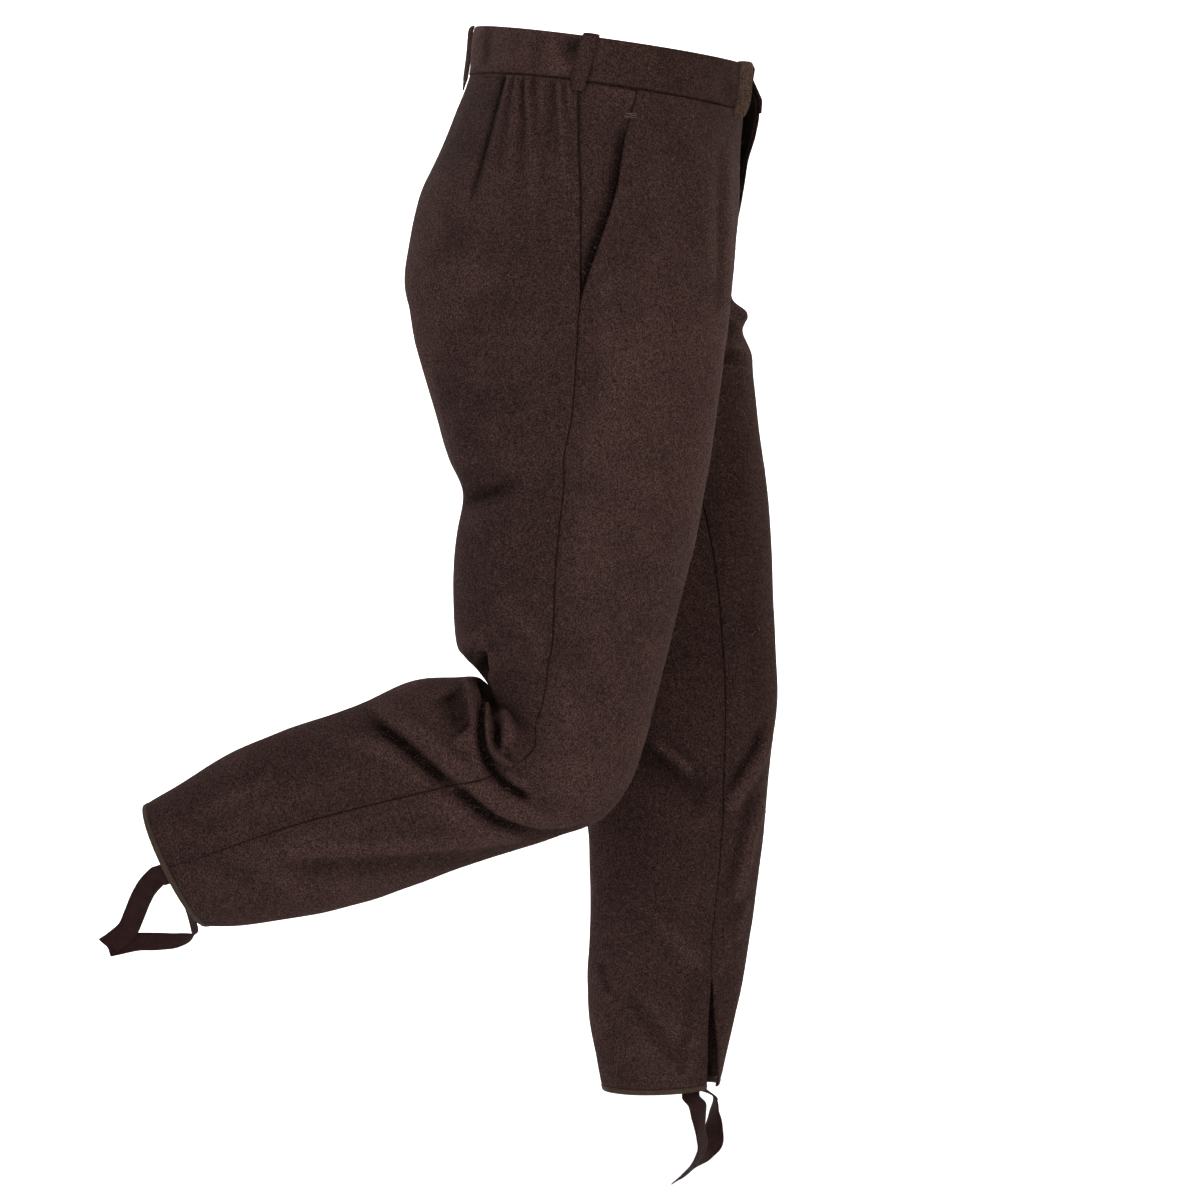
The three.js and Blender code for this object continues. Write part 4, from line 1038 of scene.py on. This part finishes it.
def hemBinding(leg):
    last = float(lastPlace[leg])
    angles = np.linspace(*hemEnds(leg), binding["columns"])
    drops, rounding = np.array(bindingRows, float).T
    proud = binding["proud"] * np.sqrt(np.clip(1 - (drops / 3 - 1) ** 8, 0, 1)) - rounding
    middle = -clothWall / 2
    away = np.concatenate([proud, -clothWall - proud[-2::-1]]) - middle
    drops = np.concatenate([drops, drops[-2::-1]])
    down = hemDown(leg, angles)
    faces = []
    for inset in (0, binding["tape"]):
        offs = middle + away * (1 - inset / (middle + clothWall + binding["proud"]))
        depths = np.minimum(drops, binding["height"] - inset)
        rows = [offCloth(leg, last, angles, off) + down * depth for off, depth in zip(offs, depths)]
        faces.append(np.stack(rows))
    piece = wall(f"cloth_hem_binding_{leg}", faces[0], faces[1], bindingCloth)
    return finishPiece(piece, "hem_binding", f"hem_binding_{leg}")


for leg in ("right", "left"):
    hemBinding(leg)
print("hem bindings made")

# Stirrup straps outside the hem: the middle of the tape and the direction of its width
tape = {
    "width": 21, "thick": 1.4, "bow": 1.8, "depths": (0.55, 0.25, 0.0), "drop": 11, "steps": 14, "columns": 9,
    "right": (1.53, -0.85), "left": (-0.98, 0.75),
}
rightTape = [
    (-143, 436, -821, 0, -0.7, -0.72), (-134, 447, -832, 0, -0.75, -0.66),
    (-124, 455, -845, 0, -0.86, -0.5), (-114, 462, -860, 0, -0.9, -0.42),
    (-107, 470, -876, 0, -0.84, -0.54), (-103, 484, -888, 0.1, -0.74, -0.67),
    (-98, 490.5, -892.5, 0.1, -0.72, -0.69), (-93, 480, -891, 0.2, -0.52, -0.82),
    (-88, 461, -889, 0.5, -0.1, -0.86), (-80, 442, -889.5, 0.55, 0, -0.83),
    (-72, 423, -889, 0.65, 0.15, -0.74), (-66, 409, -884, 0.8, 0.4, -0.45),
]
leftTape = [
    (46, -88.5, -1066, -0.5, 0.86, -0.1), (51, -90.5, -1079, -0.72, 0.64, -0.1),
    (59, -92.5, -1097, -0.9, 0.42, -0.1), (70, -94, -1112, -0.86, 0.5, -0.2),
    (82, -89, -1127, -0.6, 0.66, -0.46), (90, -80, -1139, -0.2, 0.78, -0.6),
    (95, -71, -1147, -0.1, 0.76, -0.64), (100, -75, -1145, -0.1, 0.78, -0.62),
    (110, -88, -1138, 0.1, 0.8, -0.6), (118, -99, -1128, 0.2, 0.86, -0.45),
    (126, -107, -1117, 0.25, 0.92, -0.3), (134, -107.5, -1102, 0.4, 0.9, -0.15),
    (141, -108, -1086, 0.88, 0.46, 0), (143, -109, -1071, 0.98, 0.14, 0),
]


def tapeInside(leg, angle):
    keys = []
    for depth in tape["depths"]:
        place = lastPlace[leg] - depth
        off = -(clothWall + binding["proud"] + seamGap + tape["thick"] / 2 + tape["bow"])
        point = offCloth(leg, place, angle, off, bandPoint)
        across = unit(bandPoint(leg, place, angle + 0.05) - bandPoint(leg, place, angle - 0.05))
        if depth == 0:
            point = point + hemDown(leg, angle) * tape["drop"]
        keys.append(np.concatenate([point, across]))
    return keys


# A centripetal Catmull-Rom curve and its direction, through the keys
def tapeCurve(keys, t):
    last = len(keys) - 1
    i = np.clip(np.floor(t).astype(int), 0, last - 1)
    t = (t - i)[:, None]
    padded = np.vstack([2 * keys[0] - keys[1], keys, 2 * keys[-1] - keys[-2]])
    p = [padded[i + k] for k in range(4)]
    gap = [np.linalg.norm(p[k + 1] - p[k], axis=-1, keepdims=True) ** 0.5 for k in range(3)]
    m1 = ((p[1] - p[0]) / gap[0] - (p[2] - p[0]) / (gap[0] + gap[1]) + (p[2] - p[1]) / gap[1]) * gap[1]
    m2 = ((p[2] - p[1]) / gap[1] - (p[3] - p[1]) / (gap[1] + gap[2]) + (p[3] - p[2]) / gap[2]) * gap[1]
    c2, c3 = -3 * p[1] + 3 * p[2] - 2 * m1 - m2, 2 * p[1] - 2 * p[2] + m1 + m2
    return p[1] + m1 * t + c2 * t**2 + c3 * t**3, unit(m1 + 2 * c2 * t + 3 * c3 * t**2)


def stirrupStrap(leg, rows):
    outside = [np.concatenate([row[:3], unit(np.array(row[3:]))]) for row in np.array(rows, float)]
    keys = np.array(tapeInside(leg, tape[leg][0]) + outside + tapeInside(leg, tape[leg][1])[::-1])
    for k in range(1, len(keys)):
        if keys[k, 3:] @ keys[k - 1, 3:] < 0:
            keys[k, 3:] *= -1
    t = np.linspace(0, len(keys) - 1, (len(keys) - 1) * tape["steps"] + 1)
    centre, tangent = tapeCurve(keys[:, :3], t)
    tips, _ = tapeCurve(keys[:, :3] + keys[:, 3:], t)
    across = tips - centre
    across = unit(across - tangent * np.sum(across * tangent, axis=-1, keepdims=True))
    normal = np.cross(across, tangent)
    side = np.linspace(-1, 1, tape["columns"])
    wave = 0.35 * softNoise(np.stack([t * 9, t * 0, t * 0], -1), 7, 9)[:, None] * side
    half = tape["thick"] / 2 * (1 - 0.6 * np.abs(side) ** 8)
    faces = []
    for sign in (1, -1):
        lift = sign * half + wave
        point = centre[:, None] + across[:, None] * (side * tape["width"] / 2)[None, :, None]
        faces.append(point + normal[:, None] * lift[..., None])
    piece = wall(f"cloth_strap_{leg}", faces[0], faces[1], strapCloth)
    return finishPiece(piece, "stirrup_tape", f"stirrup_strap_{leg}")


stirrupStrap("right", rightTape)
stirrupStrap("left", leftTape)
print("straps made")

# Buttons keep their solids, in dark horn
horn = Shader("horn")
streaks = horn.noise(3, horn.make("ShaderNodeTexCoord", None, "Object"), 3.0, 0.6)
horn.set(Base_Color=horn.blend(streaks.between(0.35, 0.7), (0.008, 0.005, 0.004), (0.03, 0.017, 0.011)),
         Roughness=0.38, Specular_IOR_Level=0.5)
for k in range(1, 5):
    for slot in nodes[f"fly_button_{k}"].material_slots:
        slot.material = horn.material

# Stitches along lines of points, and the loose ends of thread
thread = {
    "tack": {"pitch": 0.0021, "length": 0.0024, "thick": 0.0005, "seed": 4},
    "hem": {"pitch": 0.0042, "length": 0.0021, "thick": 0.00034, "seed": 6},
    "bar": {"pitch": 0.0017, "length": 0.0014, "thick": 0.00045, "seed": 9},
    "tackZ": -90, "loopBar": 56.5, "barGap": 1.3, "looseRadius": 0.35, "looseThin": 0.4,
}
tackStitches = [(-1.2, 0.4, 4), (0, -0.5, 4.6), (1.0, 0.9, 4.2), (2.2, -0.2, 5.5), (3.1, 0.5, 3.4)]
looseEnds = [
    [(8, -136, -21), (7.5, -134.5, -15), (7, -132, -10.5), (6, -131.3, -6.5)],
    [(12, -137, -21), (11, -138.5, -19), (10, -141, -18.2)],
    [(9, -137, -21), (9, -139, -18), (8, -142.5, -19.5)],
    [(14, -136.5, -21), (13, -137.5, -17.5), (11, -140, -16.4)],
]


def stitchGroup():
    group = Scatter("stitches", {"Pitch": "Float", "Length": "Float", "Thickness": "Float", "Seed": "Int",
                                 "Material": "Material"})
    curve = group.make("GeometryNodeMeshToCurve", None, 0, Mesh=group.given("Mesh"))
    pitch = group.given("Pitch")
    line = group.make("GeometryNodeResampleCurve", {"mode": "LENGTH"}, 0, Curve=curve, Length=pitch)
    tangent = group.make("GeometryNodeInputTangent")
    turn = group.make("FunctionNodeAlignRotationToVector", {"axis": "X"}, 0, Vector=tangent)
    ball = group.make("GeometryNodeMeshUVSphere", None, 0, Segments=6, Rings=4, Radius=0.5)
    thick = group.given("Thickness")
    size = group.make("ShaderNodeCombineXYZ", None, 0, X=group.given("Length"), Y=thick, Z=thick)
    stitch = group.make("GeometryNodeTransform", None, 0, Geometry=ball, Scale=size)
    scale = group.make("FunctionNodeRandomValue", {"data_type": "FLOAT"}, 0, Min=0.8, Max=1.15,
                       Seed=group.given("Seed"))
    laid = group.make("GeometryNodeInstanceOnPoints", None, 0, Points=line, Instance=stitch, Rotation=turn,
                      Scale=scale)
    return group.close(laid)


def sew(name, lines, kind, material, slot):
    points = np.vstack(lines)
    starts = np.cumsum([0] + [len(line) for line in lines[:-1]])
    edges = [(start + k, start + k + 1) for start, line in zip(starts, lines) for k in range(len(line) - 1)]
    sizes = thread[kind]
    piece = stitches.run(name, points, [], edges, Pitch=sizes["pitch"], Length=sizes["length"],
                         Thickness=sizes["thick"], Seed=sizes["seed"], Material=material)
    return finishPiece(piece, slot)


# A bar tack where the pocket mouth begins to open
def tackLines(leg):
    places = np.linspace(1.0, 3.0, 400)
    heights = legForm(leg, places, mouthAngle(leg, places))[:, 2]
    lines = []
    for down, lean, reach in tackStitches:
        t = np.linspace(-1, 1, 7)
        place = np.interp(-(thread["tackZ"] - down + lean * t * 1.6), -heights, places)
        angle = mouthAngle(leg, place) - t * reach / roundSpeed(leg, place, mouthAngle(leg, place))
        lines.append(offCloth(leg, place, angle, 0.25 + 0.3 * (1 - t**2)))
    return lines


def hemLines(leg):
    start, end = hemEnds(leg)
    angles = np.linspace(start + 0.03, end - 0.03, 90)
    edge = offCloth(leg, float(lastPlace[leg]), angles, binding["proud"] + 0.12)
    return [edge + hemDown(leg, angles) * 0.95]


def barLines(leg, key):
    ends = loop[key]
    across = np.linspace(-0.85, 0.85, 9) * loop["width"] / 2
    lines = []
    for down in (thread["loopBar"], thread["loopBar"] + thread["barGap"]):
        place = down / band["height"]
        angle = ends[1] + across / float(roundSpeed(leg, place, ends[1]))
        off = np.interp(down, *loopPath[1:].T) + loop["thick"] / 2 + band["proud"] + loop["bow"]
        lines.append(loopPoint(leg, np.full(across.shape, down), angle, np.full(across.shape, off)))
    return lines


def looseEnd(name, keys, radius, material):
    path = throughPoints(np.array(keys, float), 6)
    tangent = unit(np.gradient(path, axis=0))
    side = unit(np.cross(tangent, np.array([1.0, 0.3, 0.2])))
    up = np.cross(tangent, side)
    turns = np.linspace(0, 2 * math.pi, 7)[:-1]
    thin = (radius * np.linspace(1, 0.55, len(path)))[:, None, None]
    cosine, sine = np.cos(turns)[None, :, None], np.sin(turns)[None, :, None]
    ring = path[:, None] + thin * (cosine * side[:, None] + sine * up[:, None])
    count, last = len(turns), len(path) - 1
    faces = []
    for start in range(0, last * count, count):
        for j in range(count):
            a, b = start + j, start + (j + 1) % count
            faces.append((a, b, b + count, a + count))
    faces += [tuple(range(count))[::-1], tuple(range(last * count, (last + 1) * count))]
    return finishPiece(newMesh(name, ring.reshape(-1, 3), faces, material), "facing_cloth")


def recoloured(name, look, dark, light):
    return tapeMaterial(name, {**look, "dark": dark, "light": light})


stitches = stitchGroup()
paleThread = recoloured("pale_thread", bindingLook, (0.1, 0.075, 0.06), (0.24, 0.2, 0.17))
darkThread = recoloured("dark_thread", strapLook, (0.008, 0.004, 0.004), (0.02, 0.011, 0.01))
for leg in ("right", "left"):
    sew(f"bar_tack_{leg}", tackLines(leg), "tack", paleThread, "wool_cloth")
    sew(f"hem_stitches_{leg}", hemLines(leg), "hem", darkThread, "hem_binding")
    bars = barLines(leg, "side") + barLines(leg, "front") + (barLines(leg, "back") if leg == "right" else [])
    sew(f"loop_bars_{leg}", bars, "bar", darkThread, "band_cloth")
for k, keys in enumerate(looseEnds):
    thin, colour = (thread["looseThin"], paleThread) if k else (1, darkThread)
    looseEnd(f"loose_end_{k + 1}", keys, thread["looseRadius"] * thin, colour)
print("stitches made")

# Fuzz: short fibres that lie on the wool or stand a little off it
fuzz = {
    "pale": {"density": 2600.0, "length": 0.0042, "thickness": 0.000075, "lift": 0.42, "seed": 3},
    "dark": {"density": 11000.0, "length": 0.0022, "thickness": 0.000085, "lift": 0.95, "seed": 8},
}


def fibreGroup():
    group = Scatter("fibres", {"Density": "Float", "Length": "Float", "Thickness": "Float", "Lift": "Float",
                               "Seed": "Int", "Material": "Material"})
    seed, length = group.given("Seed"), group.given("Length")
    points = group.make("GeometryNodeDistributePointsOnFaces", None, "Points", Mesh=group.given("Mesh"),
                        Density=group.given("Density"), Seed=seed)
    rotation = Term(group.tree, points.socket.node.outputs["Rotation"])
    bend = group.make("ShaderNodeCombineXYZ", None, 0, X=length * 0.5, Y=length * 0.18, Z=length * 0.22)
    tip = group.make("ShaderNodeCombineXYZ", None, 0, X=length, Y=0.0, Z=length * 0.12)
    path = group.make("GeometryNodeCurveQuadraticBezier", None, 0, Resolution=2, Start=(0, 0, 0), Middle=bend,
                      End=tip)
    thick = group.given("Thickness")
    ring = group.make("GeometryNodeCurvePrimitiveCircle", None, 0, Resolution=3, Radius=thick)
    fibre = group.make("GeometryNodeCurveToMesh", None, 0, Curve=path, Profile_Curve=ring)
    scale = group.make("FunctionNodeRandomValue", {"data_type": "FLOAT"}, 0, Min=0.45, Max=1.6, Seed=seed)
    laid = group.make("GeometryNodeInstanceOnPoints", None, 0, Points=points, Instance=fibre,
                      Rotation=rotation, Scale=scale)
    lift = group.given("Lift")
    low = group.make("ShaderNodeCombineXYZ", None, 0, X=0.0, Y=lift * -1, Z=0.0)
    high = group.make("ShaderNodeCombineXYZ", None, 0, X=0.0, Y=lift * 0.1, Z=0.0)
    vector = {"data_type": "FLOAT_VECTOR"}
    tilt = group.make("FunctionNodeRandomValue", vector, 0, Min=low, Max=high, Seed=seed)
    turned = (0, 0, 2 * math.pi)
    yaw = group.make("FunctionNodeRandomValue", vector, 0, Min=(0, 0, 0), Max=turned, Seed=seed + 5)
    for turn in (yaw, tilt):
        laid = group.make("GeometryNodeRotateInstances", None, 0, Instances=laid, Rotation=turn)
    return group.close(laid)


fibres = fibreGroup()
paleFibre = recoloured("pale_fibre", bindingLook, (0.09, 0.07, 0.055), (0.26, 0.21, 0.17))
darkFibre = recoloured("dark_fibre", bindingLook, (0.02, 0.011, 0.01), (0.06, 0.036, 0.032))
fuzzy = [("front", "right"), ("back", "right"), ("front", "left"), ("back", "left")]
fuzzy += [("waistband", "right"), ("waistband", "left")]
for key, colour in (("pale", paleFibre), ("dark", darkFibre)):
    look = fuzz[key]
    for part, leg in fuzzy:
        grid = outerFaces[f"cloth_{part}_{leg}"]
        grid = grid if leg == "right" else grid[:, ::-1]
        hair = fibres.run(f"fuzz_{key}_{part}_{leg}", grid.reshape(-1, 3), gridFaces(grid).tolist(),
                          Density=look["density"], Length=look["length"], Thickness=look["thickness"],
                          Lift=look["lift"], Seed=look["seed"], Material=colour)
        finishPiece(hair, "band_cloth" if part == "waistband" else "wool_cloth")
print("fuzz made")

# Stage: pale floor and backdrop, soft light, and the camera at the photo's angle
stageSizes = {"floorZ": -1.2, "near": -8, "far": 5.5, "width": 14, "bend": 2.2, "height": 7, "steps": 16}


def backdrop():
    s = stageSizes
    profile = [(s["near"], s["floorZ"]), (s["far"] - s["bend"], s["floorZ"])]
    for k in range(1, s["steps"] + 1):
        turn = math.pi / 2 * k / s["steps"]
        profile.append((s["far"] - s["bend"] + s["bend"] * math.sin(turn),
                        s["floorZ"] + s["bend"] * (1 - math.cos(turn))))
    profile.append((s["far"], s["height"]))
    points = [(x, y, z) for x, z in profile for y in (-s["width"] / 2, s["width"] / 2)]
    faces = [(2 * k, 2 * k + 1, 2 * k + 3, 2 * k + 2) for k in range(len(profile) - 1)]
    shader = Shader("backdrop")
    shader.set(Base_Color=(0.94, 0.94, 0.94, 1), Roughness=1.0, Specular_IOR_Level=0.0)
    piece = newMesh("backdrop", np.array(points) / mm, faces, shader.material)


def areaLight(name, place, target, size, power, colour=(1, 1, 1)):
    light = bpy.data.lights.new(name, "AREA")
    light.color = colour
    light.shape, light.size, light.size_y, light.energy = "RECTANGLE", *size, power
    lamp = bpy.data.objects.new(name, light)
    scene.collection.objects.link(lamp)
    lamp.location = place
    lamp.rotation_euler = (Vector(target) - Vector(place)).to_track_quat("-Z", "Y").to_euler()


backdrop()
middle = (0, 0.12, -0.6)  # the garment's middle, in metres
areaLight("front_softbox", (-1.8, -1.25, 0.3), middle, (0.9, 1.4), 17, (1, 0.92, 0.77))
areaLight("left_softbox", (-2.5, 0.95, 0.0), middle, (1.2, 1.8), 19, (0.98, 0.99, 1))
areaLight("top_softbox", (-1.6, 0.2, 2.0), middle, (2.0, 2.0), 15)
areaLight("backdrop_left", (2.6, 3.2, 1.2), (4.6, 0.6, -0.5), (2.0, 2.0), 255)
areaLight("backdrop_right", (2.6, -3.2, 1.2), (4.6, -0.6, -0.5), (2.0, 2.0), 255)
world = bpy.data.worlds.new("studio")
world.use_nodes = True
world.node_tree.nodes["Background"].inputs["Color"].default_value = (1, 1, 1, 1)
world.node_tree.nodes["Background"].inputs["Strength"].default_value = 0.24
scene.world = world
scene.view_settings.view_transform = "Standard"

cameraData = bpy.data.cameras.new("camera")
cameraData.lens, cameraData.sensor_width = 117, 36
camera = bpy.data.objects.new("camera", cameraData)
scene.collection.objects.link(camera)
camera.location = (-3.9, 0.010, -0.555)
camera.rotation_euler = (math.pi / 2, 0, -math.pi / 2)
scene.camera = camera
print("stage made")
